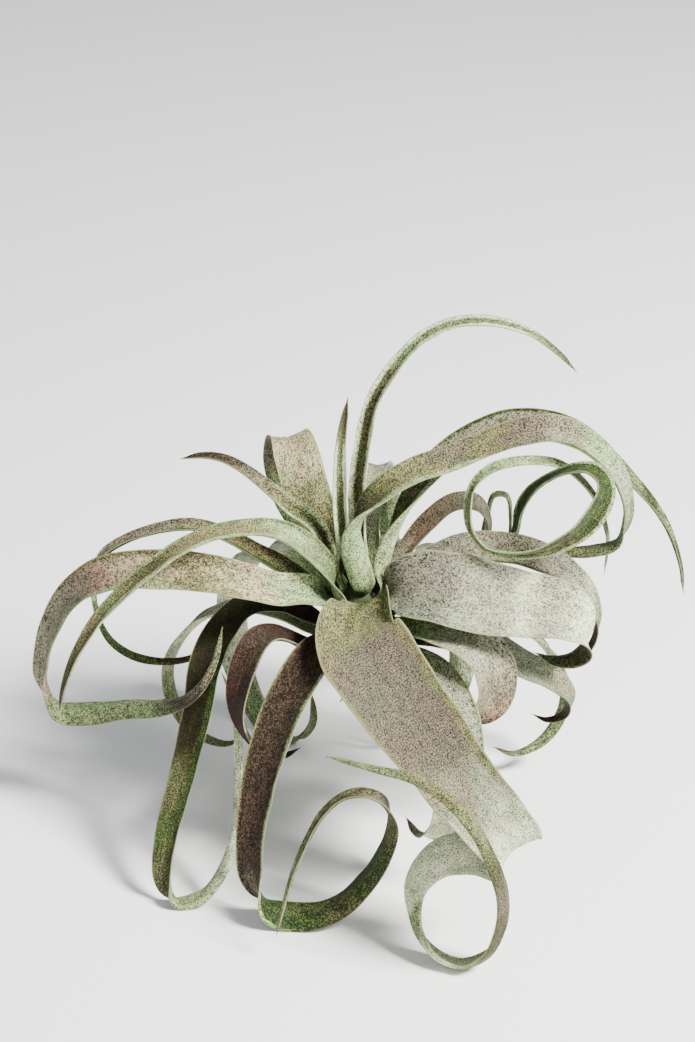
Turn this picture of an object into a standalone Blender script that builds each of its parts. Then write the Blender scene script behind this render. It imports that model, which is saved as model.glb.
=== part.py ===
"""Air plant (Tillandsia) with broad curling leaves, resting on its own leaf curls.

Every leaf is one closed blade: a channelled section swept along a smooth curve that
starts on the woody stem. Leaf points are in millimetres from the crown, the top of
the stem, with +X along the plant's length, -Y towards its front and +Z up.
"""

import math

import bmesh
import bpy
from mathutils import Vector

MM = 0.001

# Driving dimensions, in millimetres.
STEM_BOTTOM = -27.0
BASE_GAP = 1.1
BASE_WIDTH = 5.5
LEAF_THICKNESS = 0.8
RIM_THICKNESS = 0.36
STATION_STEP = 5.0
BROAD_WIDTH = 8.0
ROOT_RADIUS = 0.7

# How a leaf leaves the stem: the turn outwards and upwards, and the two cup angles.
SHOULDER_OUT = 1.6
SHOULDER_UP = 2.6
FOOT_CUP = 70
SHOULDER_CUP = 80
THINNEST_CORE = 0.5
THINNEST_RIM = 0.3

CURVE_SAMPLES = 20
FEWEST_STATIONS = 6
STEM_SIDES = 18
ROOT_SIDES = 6
ROOT_STEPS = 6
ROOT_GAP = 0.4
ROOT_START = 1.8
ROOT_SPREAD = 3.0
ROOT_TAPER = 0.6
SHARP_EDGE = 60
SKIN_ROUGHNESS = 0.7

# The stem's outline as (height, radius), from the trimmed underside to the top.
STEM_PROFILE = [
    (STEM_BOTTOM, 3.6),
    (-24.0, 5.0),
    (-18.0, 6.4),
    (-11.0, 6.6),
    (-5.0, 5.4),
    (-1.0, 3.6),
    (1.5, 1.8),
]

COLOURS = {
    "leaf_silver": (0.52, 0.55, 0.47),
    "leaf_green": (0.30, 0.38, 0.22),
    "leaf_tan": (0.42, 0.33, 0.25),
    "stem_bark": (0.20, 0.13, 0.08),
    "root_fibre": (0.33, 0.24, 0.15),
}

# Each leaf: material, the bearing and height at which it leaves the stem, and its
# rows of (x, y, z), width, cup angle and the direction across the blade.
LEAVES = {
    "leaf_tall_arch": ("leaf_green", 72, 1, [
        ((1, 5, 14), 6, 110, (0.8, -0.6, 0)),
        ((0.5, 5, 26), 6.3, 120, (0.85, -0.5, 0)),
        ((1.5, 6.3, 38), 6, 130, (0.85, -0.5, -0.1)),
        ((4, 8, 51), 5.5, 130, (0.8, -0.5, -0.3)),
        ((9.5, 9, 61), 5, 130, (0.6, -0.6, -0.5)),
        ((17, 10, 69.5), 4.5, 130, (0.4, -0.7, -0.6)),
        ((25, 10, 73.5), 4, 120, (0.1, -0.7, -0.7)),
        ((34.5, 9, 74.5), 3.5, 110, (0, -0.7, -0.7)),
        ((44, 8, 72), 2.6, 100, (0, -0.7, -0.7)),
        ((52, 7, 66.5), 1.8, 80, (-0.2, -0.7, -0.6)),
        ((57, 6, 61.5), 0.8, 60, (-0.3, -0.7, -0.6)),
    ]),
    "leaf_centre_spear": ("leaf_green", 175, 1, [
        ((-3.5, 1.5, 10), 4.5, 110, (1, -0.2, 0)),
        ((-4.5, 3.5, 25.5), 5, 130, (1, -0.1, 0)),
        ((-4.5, 5, 40), 3.6, 130, (1, 0, 0)),
        ((-2.5, 6, 54.5), 0.8, 90, (1, 0, 0)),
    ]),
    "leaf_broad_back": ("leaf_tan", 124, -4, [
        ((-8.5, 9, 5), 10, 60, (0.9, 0.35, 0)),
        ((-11, 13, 13), 12, 50, (0.95, 0.3, 0)),
        ((-14, 16, 21.5), 13.5, 45, (0.95, 0.3, 0)),
        ((-16.5, 21, 29.5), 13, 40, (0.95, 0.3, 0)),
        ((-18, 27, 32), 12, 45, (0.95, 0.3, 0)),
        ((-20, 34, 28.5), 11, 50, (0.95, 0.3, 0)),
        ((-22, 39, 20), 9, 60, (0.95, 0.3, 0)),
        ((-21.5, 40, 10), 7, 70, (1, 0.2, 0)),
        ((-18, 37.5, 1.5), 5, 80, (1, 0.1, 0)),
        ((-14, 32.5, -2.5), 3, 80, (1, 0, 0)),
        ((-11, 27, -2), 0.8, 60, (1, 0, 0)),
    ]),
    "leaf_left_upper": ("leaf_silver", 150, -2, [
        ((-7.5, 3.5, 8), 5.5, 90, (0.5, 0.7, 0.3)),
        ((-12, 6, 17), 6.5, 80, (0.4, 0.75, 0.35)),
        ((-18, 8, 21), 6, 80, (0.4, 0.75, 0.35)),
        ((-24, 10, 25.5), 5, 90, (0.4, 0.75, 0.35)),
        ((-30, 12, 30), 4, 100, (0.3, 0.75, 0.4)),
        ((-36, 14, 32.5), 3.2, 100, (0.1, 0.8, 0.4)),
        ((-42, 15, 33), 2.2, 90, (0, 0.8, 0.4)),
        ((-48, 16, 31.5), 0.8, 60, (0, 0.8, 0.4)),
    ]),
    "leaf_left_front": ("leaf_silver", 214, -2.2, [
        ((-7.5, -4.7, 8), 7.5, 90, (0.3, 0.9, 0.3)),
        ((-12.5, -4.5, 13.5), 10, 95, (0.1, 0.9, 0.35)),
        ((-19, -4, 18.5), 9, 100, (0, 0.9, 0.35)),
        ((-27, -7, 22), 7, 120, (0, 0.95, 0.3)),
        ((-36, -10, 22.5), 6.5, 120, (0, 0.95, 0.3)),
        ((-45, -13, 20), 6.5, 110, (0, 0.9, 0.35)),
        ((-54, -16, 14.5), 6, 110, (-0.2, 0.85, 0.4)),
        ((-61, -17.5, 9), 5.5, 110, (-0.4, 0.8, 0.4)),
        ((-67, -18.5, 2.5), 5, 110, (-0.5, 0.8, 0.35)),
        ((-72, -19, -5), 4.2, 110, (-0.6, 0.75, 0.25)),
        ((-76, -19, -13), 3, 100, (-0.6, 0.75, 0.2)),
        ((-78.5, -18.5, -20.5), 2, 90, (-0.6, 0.75, 0.2)),
        ((-80, -18, -27.5), 0.8, 60, (-0.6, 0.75, 0.2)),
    ]),
    "leaf_left_back_curl": ("leaf_tan", 156, -8, [
        ((-13.5, 4.5, -1), 6, 70, (0.2, 0.9, 0.4)),
        ((-21, 8, 3), 6.5, 80, (0, 0.9, 0.4)),
        ((-28, 10.5, 6), 6, 90, (0, 0.9, 0.4)),
        ((-36, 13, 9.5), 5.5, 100, (0, 0.9, 0.4)),
        ((-45, 14, 12), 5, 110, (0, 0.9, 0.4)),
        ((-55, 14.5, 10.5), 4.5, 110, (0, 0.9, 0.4)),
        ((-63, 14.5, 7.5), 4.2, 110, (0, 0.9, 0.35)),
        ((-70, 14, 2.5), 4, 110, (-0.2, 0.9, 0.2)),
        ((-72.5, 12.5, -6), 3.8, 110, (-0.2, 0.9, 0.1)),
        ((-71.5, 11, -15), 3.6, 110, (-0.2, 0.9, 0.2)),
        ((-68, 10, -22), 3.4, 110, (0, 0.9, 0.3)),
        ((-61, 9, -26.5), 3.2, 110, (0, 0.9, 0.4)),
        ((-51, 8.5, -27.5), 2.6, 100, (0, 0.9, 0.4)),
        ((-42, 8, -24.5), 2, 90, (0, 0.9, 0.4)),
        ((-33.5, 8, -19.5), 0.8, 60, (0, 0.9, 0.4)),
    ]),
    "leaf_left_broad": ("leaf_silver", 208, -5, [
        ((-13, -7.2, 3.2), 10.5, 95, (0.2, 0.88, 0.35)),
        ((-21, -10, 5.2), 11, 90, (0, 0.75, 0.6)),
        ((-31, -11, 9), 11, 75, (0, 0.65, 0.75)),
        ((-43, -11, 11.5), 11.5, 65, (0, 0.65, 0.75)),
        ((-57, -8, 10.5), 11.5, 65, (0, 0.65, 0.75)),
        ((-68, -5, 7), 11, 70, (-0.1, 0.7, 0.7)),
        ((-77, -1, -1.5), 10, 80, (-0.3, 0.75, 0.55)),
        ((-82.5, 1, -11.5), 9.5, 80, (-0.45, 0.8, 0.3)),
        ((-85.5, 2, -21), 9, 80, (-0.5, 0.8, 0.2)),
        ((-86.5, 2, -31), 8.5, 80, (-0.4, 0.85, 0.2)),
        ((-82.5, 1, -38.5), 8.5, 80, (-0.2, 0.9, 0.3)),
        ((-74, -1.5, -38), 8, 70, (0, 0.9, 0.4)),
        ((-64, -6.5, -33.5), 7, 60, (0, 0.9, 0.4)),
        ((-53.5, -14, -28.5), 5.5, 60, (0, 0.9, 0.4)),
        ((-46, -20.5, -22), 4.2, 70, (-0.2, 0.9, 0.35)),
        ((-41, -23, -15.5), 3.2, 80, (-0.5, 0.8, 0.2)),
        ((-37.5, -21, -9), 2.2, 80, (-0.7, 0.7, 0)),
        ((-35.5, -16.5, -1.5), 0.8, 60, (-0.8, 0.6, 0)),
    ]),
    "leaf_left_loop": ("leaf_green", 184, -13, [
        ((-12, -2, -7.5), 6, 80, (0, 0.85, 0.4)),
        ((-19, -1, -4.5), 7, 80, (0, 0.85, 0.4)),
        ((-29, -1.5, -4), 8, 70, (-0.4, 0.7, 0.5)),
        ((-36.5, -5, -9.5), 9, 60, (-0.8, 0.35, 0.3)),
        ((-41, -10.5, -17.5), 9, 60, (-0.95, 0.1, 0.1)),
        ((-42.5, -16, -26.5), 8.5, 60, (-0.95, 0.1, 0)),
        ((-45, -22, -35.5), 8, 65, (-0.95, 0.1, 0)),
        ((-48, -28.5, -46), 7.5, 70, (-0.95, 0.1, 0)),
        ((-51, -35.5, -56), 7, 80, (-0.9, 0.3, 0)),
        ((-51.5, -41.5, -65), 6.2, 80, (-0.8, 0.5, 0.1)),
        ((-48, -44.5, -69.8), 5.6, 80, (-0.4, 0.85, 0.2)),
        ((-42.5, -44, -69.3), 5.2, 80, (-0.1, 0.9, 0.3)),
        ((-37, -41.5, -63.5), 4.8, 80, (-0.4, 0.9, 0)),
        ((-33.3, -36.5, -55), 4.4, 90, (-0.5, 0.8, 0)),
        ((-32.2, -29, -42), 4, 90, (-0.5, 0.8, 0)),
        ((-32.4, -22.5, -30), 3.4, 90, (-0.5, 0.8, 0)),
        ((-34, -17.5, -22), 2.2, 80, (-0.5, 0.8, 0)),
        ((-36.5, -14.5, -16.5), 0.8, 60, (-0.5, 0.8, 0)),
    ]),
    "leaf_right_arch": ("leaf_silver", 300, 0.5, [
        ((1, -5, 8), 8.5, 120, (-1, -0.2, 0)),
        ((-0.3, -3.8, 15), 8.5, 130, (-0.9, -0.45, 0)),
        ((1.2, -1.5, 22.5), 8.5, 120, (-0.1, -1, 0)),
        ((6.5, 0, 29.5), 8.5, 95, (0.4, -0.8, -0.4)),
        ((14, 2, 34), 8.5, 85, (0.2, -0.75, -0.65)),
        ((24, 4, 37), 8.5, 70, (0, -0.7, -0.7)),
        ((34, 5, 41), 8.5, 70, (0, -0.7, -0.7)),
        ((43.5, 5, 44.5), 8.5, 70, (0, -0.7, -0.7)),
        ((51.5, 5, 45.5), 8.5, 75, (0, -0.7, -0.7)),
        ((59, 5, 42.5), 8.5, 80, (-0.1, -0.75, -0.6)),
        ((66, 4, 36.5), 8, 80, (-0.3, -0.8, -0.4)),
        ((70.5, 3, 28), 7.5, 80, (-0.45, -0.85, -0.1)),
        ((71.5, 3, 20.5), 7, 80, (-0.45, -0.85, 0)),
        ((69.5, 3, 13.5), 6, 80, (-0.2, -0.9, -0.1)),
        ((64, 4, 10.5), 5, 90, (0, -0.9, -0.3)),
        ((57.5, 5.5, 9), 4, 90, (0, -0.9, -0.3)),
        ((51.5, 7, 8), 2.4, 80, (0, -0.9, -0.3)),
        ((47, 8, 7.5), 0.8, 60, (0, -0.9, -0.3)),
    ]),
    "leaf_right_back_arch": ("leaf_tan", 12, -2, [
        ((8, 2.5, 7), 9, 120, (-0.5, -0.85, 0.1)),
        ((10.5, 4.5, 15), 9, 120, (-0.2, -0.95, 0.1)),
        ((14.5, 7.5, 23), 8.5, 105, (0.2, -0.9, -0.2)),
        ((19.5, 11, 30), 8, 75, (0.4, -0.7, -0.6)),
        ((26, 13, 36), 8, 70, (0.2, -0.7, -0.65)),
        ((33, 14, 40.5), 7.5, 70, (0, -0.7, -0.7)),
        ((42, 15, 43), 7.5, 70, (0, -0.7, -0.7)),
        ((51.5, 16, 42.5), 7, 75, (0, -0.75, -0.65)),
        ((60.5, 16, 38.5), 6.5, 80, (-0.1, -0.8, -0.55)),
        ((68.5, 15, 31.5), 6, 80, (-0.2, -0.85, -0.4)),
        ((75, 14, 24.5), 5.4, 80, (-0.3, -0.85, -0.3)),
        ((80.5, 13.5, 18), 4.6, 80, (-0.3, -0.85, -0.2)),
        ((85, 12.5, 11), 3.6, 80, (-0.3, -0.9, -0.1)),
        ((88.5, 11, 2), 2.2, 70, (-0.3, -0.9, 0)),
        ((90, 10, -7.5), 0.8, 60, (-0.3, -0.9, 0)),
    ]),
    "leaf_right_ring": ("leaf_green", 10, -12, [
        ((14, 6, -6), 5, 80, (0, -1, 0)),
        ((25, 9, -2), 5, 80, (0, -1, 0)),
        ((36, 11, 3.5), 5, 80, (0, -1, 0)),
        ((43, 11.5, 10.5), 5, 80, (0.1, -1, 0)),
        ((44.2, 11, 18), 5, 80, (0.3, -0.95, 0)),
        ((46, 8, 24.5), 4.6, 80, (0.2, -0.95, -0.2)),
        ((50, 3, 31.5), 4.4, 80, (-0.3, -0.9, -0.4)),
        ((55.5, -1.5, 36.8), 4.8, 80, (-0.6, -0.7, -0.4)),
        ((61, -5.5, 38.6), 6.6, 70, (-0.75, -0.65, 0)),
        ((63.5, -8.5, 36), 7.8, 60, (-0.65, -0.5, 0.4)),
        ((62.5, -10.5, 31.5), 8.2, 60, (-0.65, -0.35, 0.6)),
        ((59, -12, 26.5), 7.8, 60, (-0.6, -0.35, 0.65)),
        ((54, -12.5, 22), 6.6, 60, (-0.35, -0.4, 0.8)),
        ((48, -11.5, 18.5), 5.4, 70, (-0.1, -0.5, 0.85)),
        ((40.5, -9.5, 16.5), 3.8, 80, (0, -0.6, 0.8)),
        ((34, -7, 17), 3.6, 90, (0.2, -0.75, 0.6)),
        ((30.3, -5, 21), 3.4, 90, (0.5, -0.85, 0.2)),
        ((29.3, -3, 26), 3.3, 90, (0.6, -0.8, 0)),
        ((30.3, -1, 31.5), 3.2, 90, (0.5, -0.8, -0.2)),
        ((34, 0.5, 35.5), 3.1, 90, (0.2, -0.75, -0.6)),
        ((40, 1.5, 37.6), 3, 90, (0, -0.7, -0.7)),
        ((47, 3, 37.5), 2.9, 90, (0, -0.7, -0.7)),
        ((53.5, 5, 35.3), 2.8, 90, (-0.1, -0.7, -0.6)),
        ((59.5, 5.8, 30.3), 2.6, 90, (-0.3, -0.8, -0.4)),
        ((64.3, 5.5, 23.5), 2.4, 90, (-0.4, -0.9, 0)),
        ((67, 7.5, 15), 2, 90, (-0.4, -0.8, -0.3)),
        ((68.3, 11, 8.5), 1.6, 80, (-0.4, -0.8, -0.3)),
        ((68, 12.5, -2.5), 0.8, 60, (-0.4, -0.8, 0)),
    ]),
    "leaf_back_right_short": ("leaf_tan", 42, -9, [
        ((13, 13, 4), 6, 80, (0.3, -0.8, -0.5)),
        ((20, 17, 12), 6.5, 80, (0.1, -0.8, -0.6)),
        ((27, 20, 16), 6.5, 80, (0, -0.8, -0.6)),
        ((33, 21, 15), 6, 80, (-0.1, -0.85, -0.5)),
        ((36, 22, 9), 5, 80, (-0.2, -0.9, -0.2)),
        ((35.5, 22.5, 2), 3.6, 80, (-0.2, -0.9, 0)),
        ((32, 22.5, -4), 2, 70, (0, -0.95, 0.1)),
        ((28, 22, -6.5), 0.8, 60, (0, -0.95, 0.2)),
    ]),
    "leaf_right_broad": ("leaf_silver", 328, -5, [
        ((11, -6, 3.5), 15, 85, (0.2, -0.85, -0.5)),
        ((15.5, -8.5, 5.5), 20.5, 75, (0, -0.8, -0.6)),
        ((23, -10.5, 5.5), 22.5, 65, (0, -0.8, -0.6)),
        ((33, -12.5, 4), 22, 55, (0, -0.8, -0.6)),
        ((43, -14.5, 3), 20, 50, (0, -0.8, -0.6)),
        ((52, -16, 2.5), 18, 50, (0, -0.8, -0.6)),
        ((58.5, -16.5, -1), 16, 50, (-0.1, -0.85, -0.5)),
        ((60.5, -16.5, -6.5), 13, 55, (-0.1, -0.95, -0.2)),
        ((57.5, -16, -11), 9, 60, (0, -1, 0)),
        ((52, -15, -12.5), 5, 70, (0, -1, 0)),
        ((47, -14, -11), 0.8, 60, (0, -1, 0)),
    ]),
    "leaf_right_upper": ("leaf_tan", 4, -6.5, [
        ((12, 4, -0.5), 7, 80, (0, -0.85, -0.5)),
        ((20, 3, 7), 8.5, 70, (0, -0.8, -0.6)),
        ((30, 2.5, 11), 10, 60, (0, -0.8, -0.6)),
        ((40, 1.5, 11.5), 10, 60, (0, -0.8, -0.6)),
        ((49, 0.5, 9.5), 9.5, 60, (0, -0.8, -0.6)),
        ((57, -1, 5), 9, 60, (-0.1, -0.85, -0.5)),
        ((62.5, -2.5, -1.5), 8, 60, (-0.3, -0.9, -0.3)),
        ((64.5, -4, -9), 6, 70, (-0.2, -0.95, -0.1)),
        ((62, -5, -16), 3.5, 80, (0, -1, 0)),
        ((57, -5, -19.5), 0.8, 60, (0, -1, 0)),
    ]),
    "leaf_right_low": ("leaf_green", 340, -14, [
        ((12, -6, -11), 6, 80, (0.2, -0.85, -0.4)),
        ((22, -9, -9.5), 8, 70, (0.1, -0.85, -0.5)),
        ((34, -12.5, -9.5), 9.5, 65, (0, -0.85, -0.5)),
        ((44, -14.5, -15), 9.5, 65, (-0.1, -0.85, -0.4)),
        ((52, -15.5, -19), 9, 70, (-0.2, -0.9, -0.3)),
        ((56.5, -15.5, -24.5), 8, 75, (-0.3, -0.95, 0)),
        ((55.5, -14.5, -30), 5.5, 80, (-0.1, -0.95, 0.2)),
        ((51, -13.5, -32.5), 2.8, 80, (0, -0.95, 0.2)),
        ((47, -13, -31), 0.8, 60, (0, -0.95, 0.2)),
    ]),
    "leaf_right_front_low": ("leaf_silver", 312, -10, [
        ((11, -10, -6.5), 8.5, 80, (-0.4, -0.8, -0.2)),
        ((20, -13.5, -5), 12.5, 70, (-0.5, -0.8, -0.2)),
        ((28.5, -18, -5.5), 15, 65, (-0.6, -0.75, -0.2)),
        ((34.5, -21, -10), 15, 60, (-0.75, -0.6, -0.1)),
        ((36, -22.8, -17), 13.2, 65, (-0.85, -0.5, 0)),
        ((34.2, -22.8, -23.5), 10.3, 75, (-0.85, -0.4, 0.2)),
        ((31.2, -21.8, -27.5), 5.5, 80, (-0.8, -0.4, 0.3)),
        ((28.7, -20, -29), 0.8, 60, (-0.8, -0.4, 0.3)),
    ]),
    "leaf_front_under": ("leaf_tan", 290, -16, [
        ((6.5, -13, -13.5), 11, 80, (-0.85, -0.4, -0.1)),
        ((13, -18.5, -13.5), 16, 65, (-0.85, -0.45, -0.1)),
        ((19.5, -25, -16), 17.5, 55, (-0.85, -0.45, -0.1)),
        ((24, -32, -22.5), 17, 50, (-0.9, -0.4, -0.1)),
        ((25.5, -38, -33), 15, 50, (-0.95, -0.3, 0)),
        ((24.5, -41, -44), 11.5, 55, (-0.95, -0.2, 0.1)),
        ((20, -38, -53), 7.5, 65, (-0.95, -0.2, 0.2)),
        ((16, -32.5, -56), 3.5, 70, (-0.95, -0.2, 0.3)),
        ((13, -27, -55), 0.8, 60, (-0.95, -0.2, 0.3)),
    ]),
    "leaf_front_broad": ("leaf_silver", 284, -3, [
        ((2.4, -10.3, 1.3), 16.5, 84, (-0.89, -0.22, -0.4)),
        ((0.6, -15, -2.4), 23.5, 74, (-0.87, -0.29, -0.4)),
        ((2, -22, -6), 26, 60, (-0.88, -0.33, -0.32)),
        ((9.5, -34, -12.5), 25, 50, (-0.88, -0.36, -0.26)),
        ((18.5, -46, -19), 22, 45, (-0.85, -0.38, -0.35)),
        ((27, -57, -25.5), 19.5, 40, (-0.8, -0.4, -0.42)),
        ((34.5, -65.5, -30.5), 18, 40, (-0.75, -0.4, -0.5)),
        ((38.5, -68, -35.5), 17, 45, (-0.7, -0.4, -0.57)),
        ((36, -65.5, -39.5), 14.5, 55, (-0.6, -0.4, -0.68)),
        ((28.5, -62.5, -41), 12, 60, (-0.4, -0.4, -0.8)),
        ((19.5, -61.5, -44.5), 10, 60, (-0.1, -0.5, -0.85)),
        ((13.5, -62.5, -53), 8.5, 65, (0.45, -0.8, -0.3)),
        ((14.5, -66, -62), 8, 70, (0.3, -0.9, 0.1)),
        ((20, -69, -69.1), 8, 70, (0.1, -0.9, 0.35)),
        ((26.5, -71, -70.7), 8, 70, (0, -0.9, 0.4)),
        ((33, -72.5, -66.5), 7.5, 70, (-0.3, -0.9, 0.3)),
        ((36.8, -73.5, -56.5), 7, 70, (-0.5, -0.85, 0.1)),
        ((36.8, -75, -46), 6, 75, (-0.5, -0.85, 0)),
        ((34, -76, -35), 5.2, 80, (-0.5, -0.8, -0.2)),
        ((29.5, -74, -26), 4.6, 80, (-0.4, -0.8, -0.4)),
        ((22.8, -69.5, -20), 4, 80, (-0.2, -0.8, -0.6)),
        ((14, -64.5, -17), 3.2, 80, (0, -0.8, -0.6)),
        ((4.3, -61, -16.5), 2, 80, (0, -0.8, -0.6)),
        ((-8, -56, -16), 0.8, 60, (0, -0.8, -0.6)),
    ]),
    "leaf_left_front_dark": ("leaf_tan", 214, -17, [
        ((-13, -9.5, -12.5), 7, 80, (-0.3, 0.9, 0.2)),
        ((-21, -13.5, -6.5), 9, 70, (-0.6, 0.7, 0.2)),
        ((-26.5, -20.5, -4.5), 9, 65, (-0.8, 0.5, 0.1)),
        ((-30, -25.5, -11), 8.5, 65, (-0.8, 0.6, 0)),
        ((-31, -28, -19.5), 7.5, 70, (-0.7, 0.7, 0)),
        ((-29, -28, -28), 6, 75, (-0.6, 0.8, 0)),
        ((-25, -25.5, -35), 4.5, 80, (-0.6, 0.8, 0)),
        ((-20, -21.5, -39), 2.6, 80, (-0.6, 0.8, 0)),
        ((-15, -17.5, -39), 0.8, 60, (-0.6, 0.8, 0)),
    ]),
    "leaf_front_loop": ("leaf_silver", 246, -12, [
        ((-7.5, -13.5, -8.5), 9, 80, (-0.8, 0.5, 0)),
        ((-9.5, -17, -8.5), 11.5, 70, (-0.8, 0.5, 0)),
        ((-13, -22, -11), 13, 60, (-0.8, 0.5, 0)),
        ((-18, -28.5, -17.5), 13, 55, (-0.8, 0.5, 0)),
        ((-22.5, -35, -27), 12, 55, (-0.8, 0.5, 0)),
        ((-26, -40, -39), 10.5, 60, (-0.8, 0.5, 0)),
        ((-27.5, -44.5, -50), 9.5, 65, (-0.75, 0.6, 0)),
        ((-27, -49, -60), 9.5, 65, (-0.6, 0.7, 0.2)),
        ((-22.5, -52, -66.8), 9.5, 60, (-0.3, 0.85, 0.4)),
        ((-15, -53, -68.4), 9, 60, (0, 0.85, 0.5)),
        ((-6, -53, -65.5), 8.5, 60, (-0.1, 0.85, 0.45)),
        ((1, -52.5, -58.5), 7.5, 65, (-0.3, 0.85, 0.3)),
        ((6.5, -52, -48.5), 6.5, 70, (-0.45, 0.85, 0.1)),
        ((8.5, -52, -39.5), 5.5, 75, (-0.4, 0.9, 0)),
        ((6, -53, -32), 4.8, 80, (0, 0.95, 0)),
        ((1.5, -54, -29), 4.4, 80, (0, 1, 0)),
        ((-3.5, -55.5, -29), 4, 80, (0, 1, 0)),
        ((-8.5, -57.5, -32.5), 3.6, 80, (-0.2, 0.95, 0)),
        ((-13, -60, -40), 3, 80, (-0.3, 0.95, 0)),
        ((-17, -63, -49.5), 2.2, 80, (-0.3, 0.9, 0)),
        ((-21, -67, -64.5), 0.8, 60, (-0.3, 0.9, 0)),
    ]),
    "leaf_back_curl_narrow": ("leaf_green", 62, -17, [
        ((11, 18, -10), 6, 80, (0.6, -0.7, 0)),
        ((20, 25, -9), 6, 80, (0.5, -0.8, 0)),
        ((29, 28, -9), 5, 80, (0.2, -0.9, 0)),
        ((35, 28, -3), 4.4, 80, (0.1, -0.9, 0)),
        ((36.5, 28, 6), 3.8, 80, (0.1, -0.95, 0)),
        ((38.3, 28, 14), 3.2, 80, (0, -0.95, -0.1)),
        ((41.5, 28, 14), 2.8, 80, (-0.1, -0.95, -0.1)),
        ((43, 28, 6), 2.2, 80, (-0.1, -0.95, 0)),
        ((42.5, 28, -3), 0.8, 60, (-0.1, -0.95, 0)),
    ]),
    "leaf_back_left_rest": ("leaf_silver", 130, -12, [
        ((-12, 14, -6), 10, 80, (0.75, 0.6, 0)),
        ((-19, 24, -3), 13, 70, (0.75, 0.6, 0)),
        ((-27, 35, -8), 14, 65, (0.8, 0.55, 0)),
        ((-33, 44, -20), 13, 65, (0.8, 0.5, 0)),
        ((-36, 49, -35), 12, 65, (0.8, 0.5, 0)),
        ((-36, 50, -50), 10.5, 65, (0.8, 0.5, 0)),
        ((-32, 47, -62), 9, 65, (0.8, 0.5, 0)),
        ((-26, 40, -70.2), 7.5, 65, (0.8, 0.5, 0)),
        ((-18, 31, -68.4), 5.5, 70, (0.75, 0.6, 0)),
        ((-13, 25, -58), 3.5, 70, (0.75, 0.6, 0)),
        ((-13, 25, -48), 0.8, 60, (0.75, 0.6, 0)),
    ]),
    "leaf_back_right_rest": ("leaf_silver", 80, -12, [
        ((5, 17, -6), 10, 80, (0.95, -0.3, 0)),
        ((11, 28, -3), 13, 70, (0.95, -0.3, 0)),
        ((18, 40, -9), 14, 65, (0.95, -0.35, 0)),
        ((25, 50, -21), 13, 65, (0.9, -0.4, 0)),
        ((30, 55, -36), 12, 65, (0.9, -0.4, 0)),
        ((32, 55.5, -51), 10.5, 65, (0.9, -0.4, 0)),
        ((30, 51, -63), 9, 65, (0.9, -0.4, 0)),
        ((25, 43, -70.4), 7.5, 65, (0.9, -0.4, 0)),
        ((18.5, 33, -68), 5.5, 70, (0.9, -0.4, 0)),
        ((14.5, 26, -58), 3.5, 70, (0.9, -0.4, 0)),
        ((14, 25, -48), 0.8, 60, (0.9, -0.4, 0)),
    ]),
    "leaf_back_upright": ("leaf_green", 84, -7, [
        ((2, 12.5, 3), 8, 80, (1, 0, 0)),
        ((2, 17, 14), 10, 75, (1, 0, 0)),
        ((3, 25, 20), 10, 70, (1, -0.1, 0)),
        ((5, 35, 20), 9.5, 70, (1, -0.1, 0)),
        ((7, 44, 13), 8.5, 75, (1, -0.2, 0)),
        ((9, 49, 2), 7.5, 80, (1, -0.2, 0)),
        ((9.5, 48, -9), 6, 80, (1, -0.2, 0)),
        ((8, 41, -15), 4, 80, (1, -0.2, 0)),
        ((6, 34, -14), 0.8, 60, (1, -0.2, 0)),
    ]),
    "leaf_back_left_low": ("leaf_tan", 162, -19, [
        ((-14, 9, -17), 7, 80, (0.3, 0.9, 0)),
        ((-24, 14, -15), 9, 70, (0.4, 0.9, 0)),
        ((-36, 20, -18), 9.5, 70, (0.4, 0.9, 0)),
        ((-47, 25, -27), 9, 70, (0.4, 0.9, 0)),
        ((-53, 27, -39), 8, 75, (0.4, 0.9, 0)),
        ((-53, 26, -51), 6.5, 75, (0.4, 0.9, 0)),
        ((-47, 23, -60), 5, 80, (0.4, 0.9, 0)),
        ((-38, 19, -62), 3, 80, (0.4, 0.9, 0)),
        ((-31, 16, -57), 0.8, 60, (0.4, 0.9, 0)),
    ]),
    "leaf_back_right_low": ("leaf_green", 20, -19, [
        ((15, 7, -19), 7, 80, (0.3, -0.9, 0)),
        ((26, 11, -18), 9, 70, (0.3, -0.9, 0)),
        ((39, 16, -20), 9.5, 70, (0.3, -0.9, 0)),
        ((51, 20, -28), 9, 70, (0.3, -0.9, 0)),
        ((58, 22, -40), 8, 75, (0.3, -0.9, 0)),
        ((59, 22, -52), 6.5, 75, (0.3, -0.9, 0)),
        ((54, 20, -61), 5, 80, (0.3, -0.9, 0)),
        ((46, 17, -64), 3, 80, (0.3, -0.9, 0)),
        ((39, 14, -60), 0.8, 60, (0.3, -0.9, 0)),
    ]),
}

# Dry roots under the stem: name, bearing in degrees and length.
ROOTS = {
    "root_front": (285, 12.0),
    "root_left": (165, 9.0),
    "root_right": (45, 10.5),
}


def clear_scene():
    for item in list(bpy.data.objects):
        bpy.data.objects.remove(item, do_unlink=True)


def make_material(name, colour, roughness):
    material = bpy.data.materials.new(name)
    material.use_nodes = True
    shader = material.node_tree.nodes["Principled BSDF"]
    shader.inputs["Base Color"].default_value = (*colour, 1.0)
    shader.inputs["Roughness"].default_value = roughness
    shader.inputs["Metallic"].default_value = 0.0
    material.diffuse_color = (*colour, 1.0)
    return material


def stem_radius(height):
    """The stem's radius at a height, read along its outline."""
    for (low, low_radius), (high, high_radius) in zip(STEM_PROFILE, STEM_PROFILE[1:]):
        if low <= height <= high:
            share = (height - low) / (high - low)
            return low_radius + share * (high_radius - low_radius)
    return STEM_PROFILE[-1][1]


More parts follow.
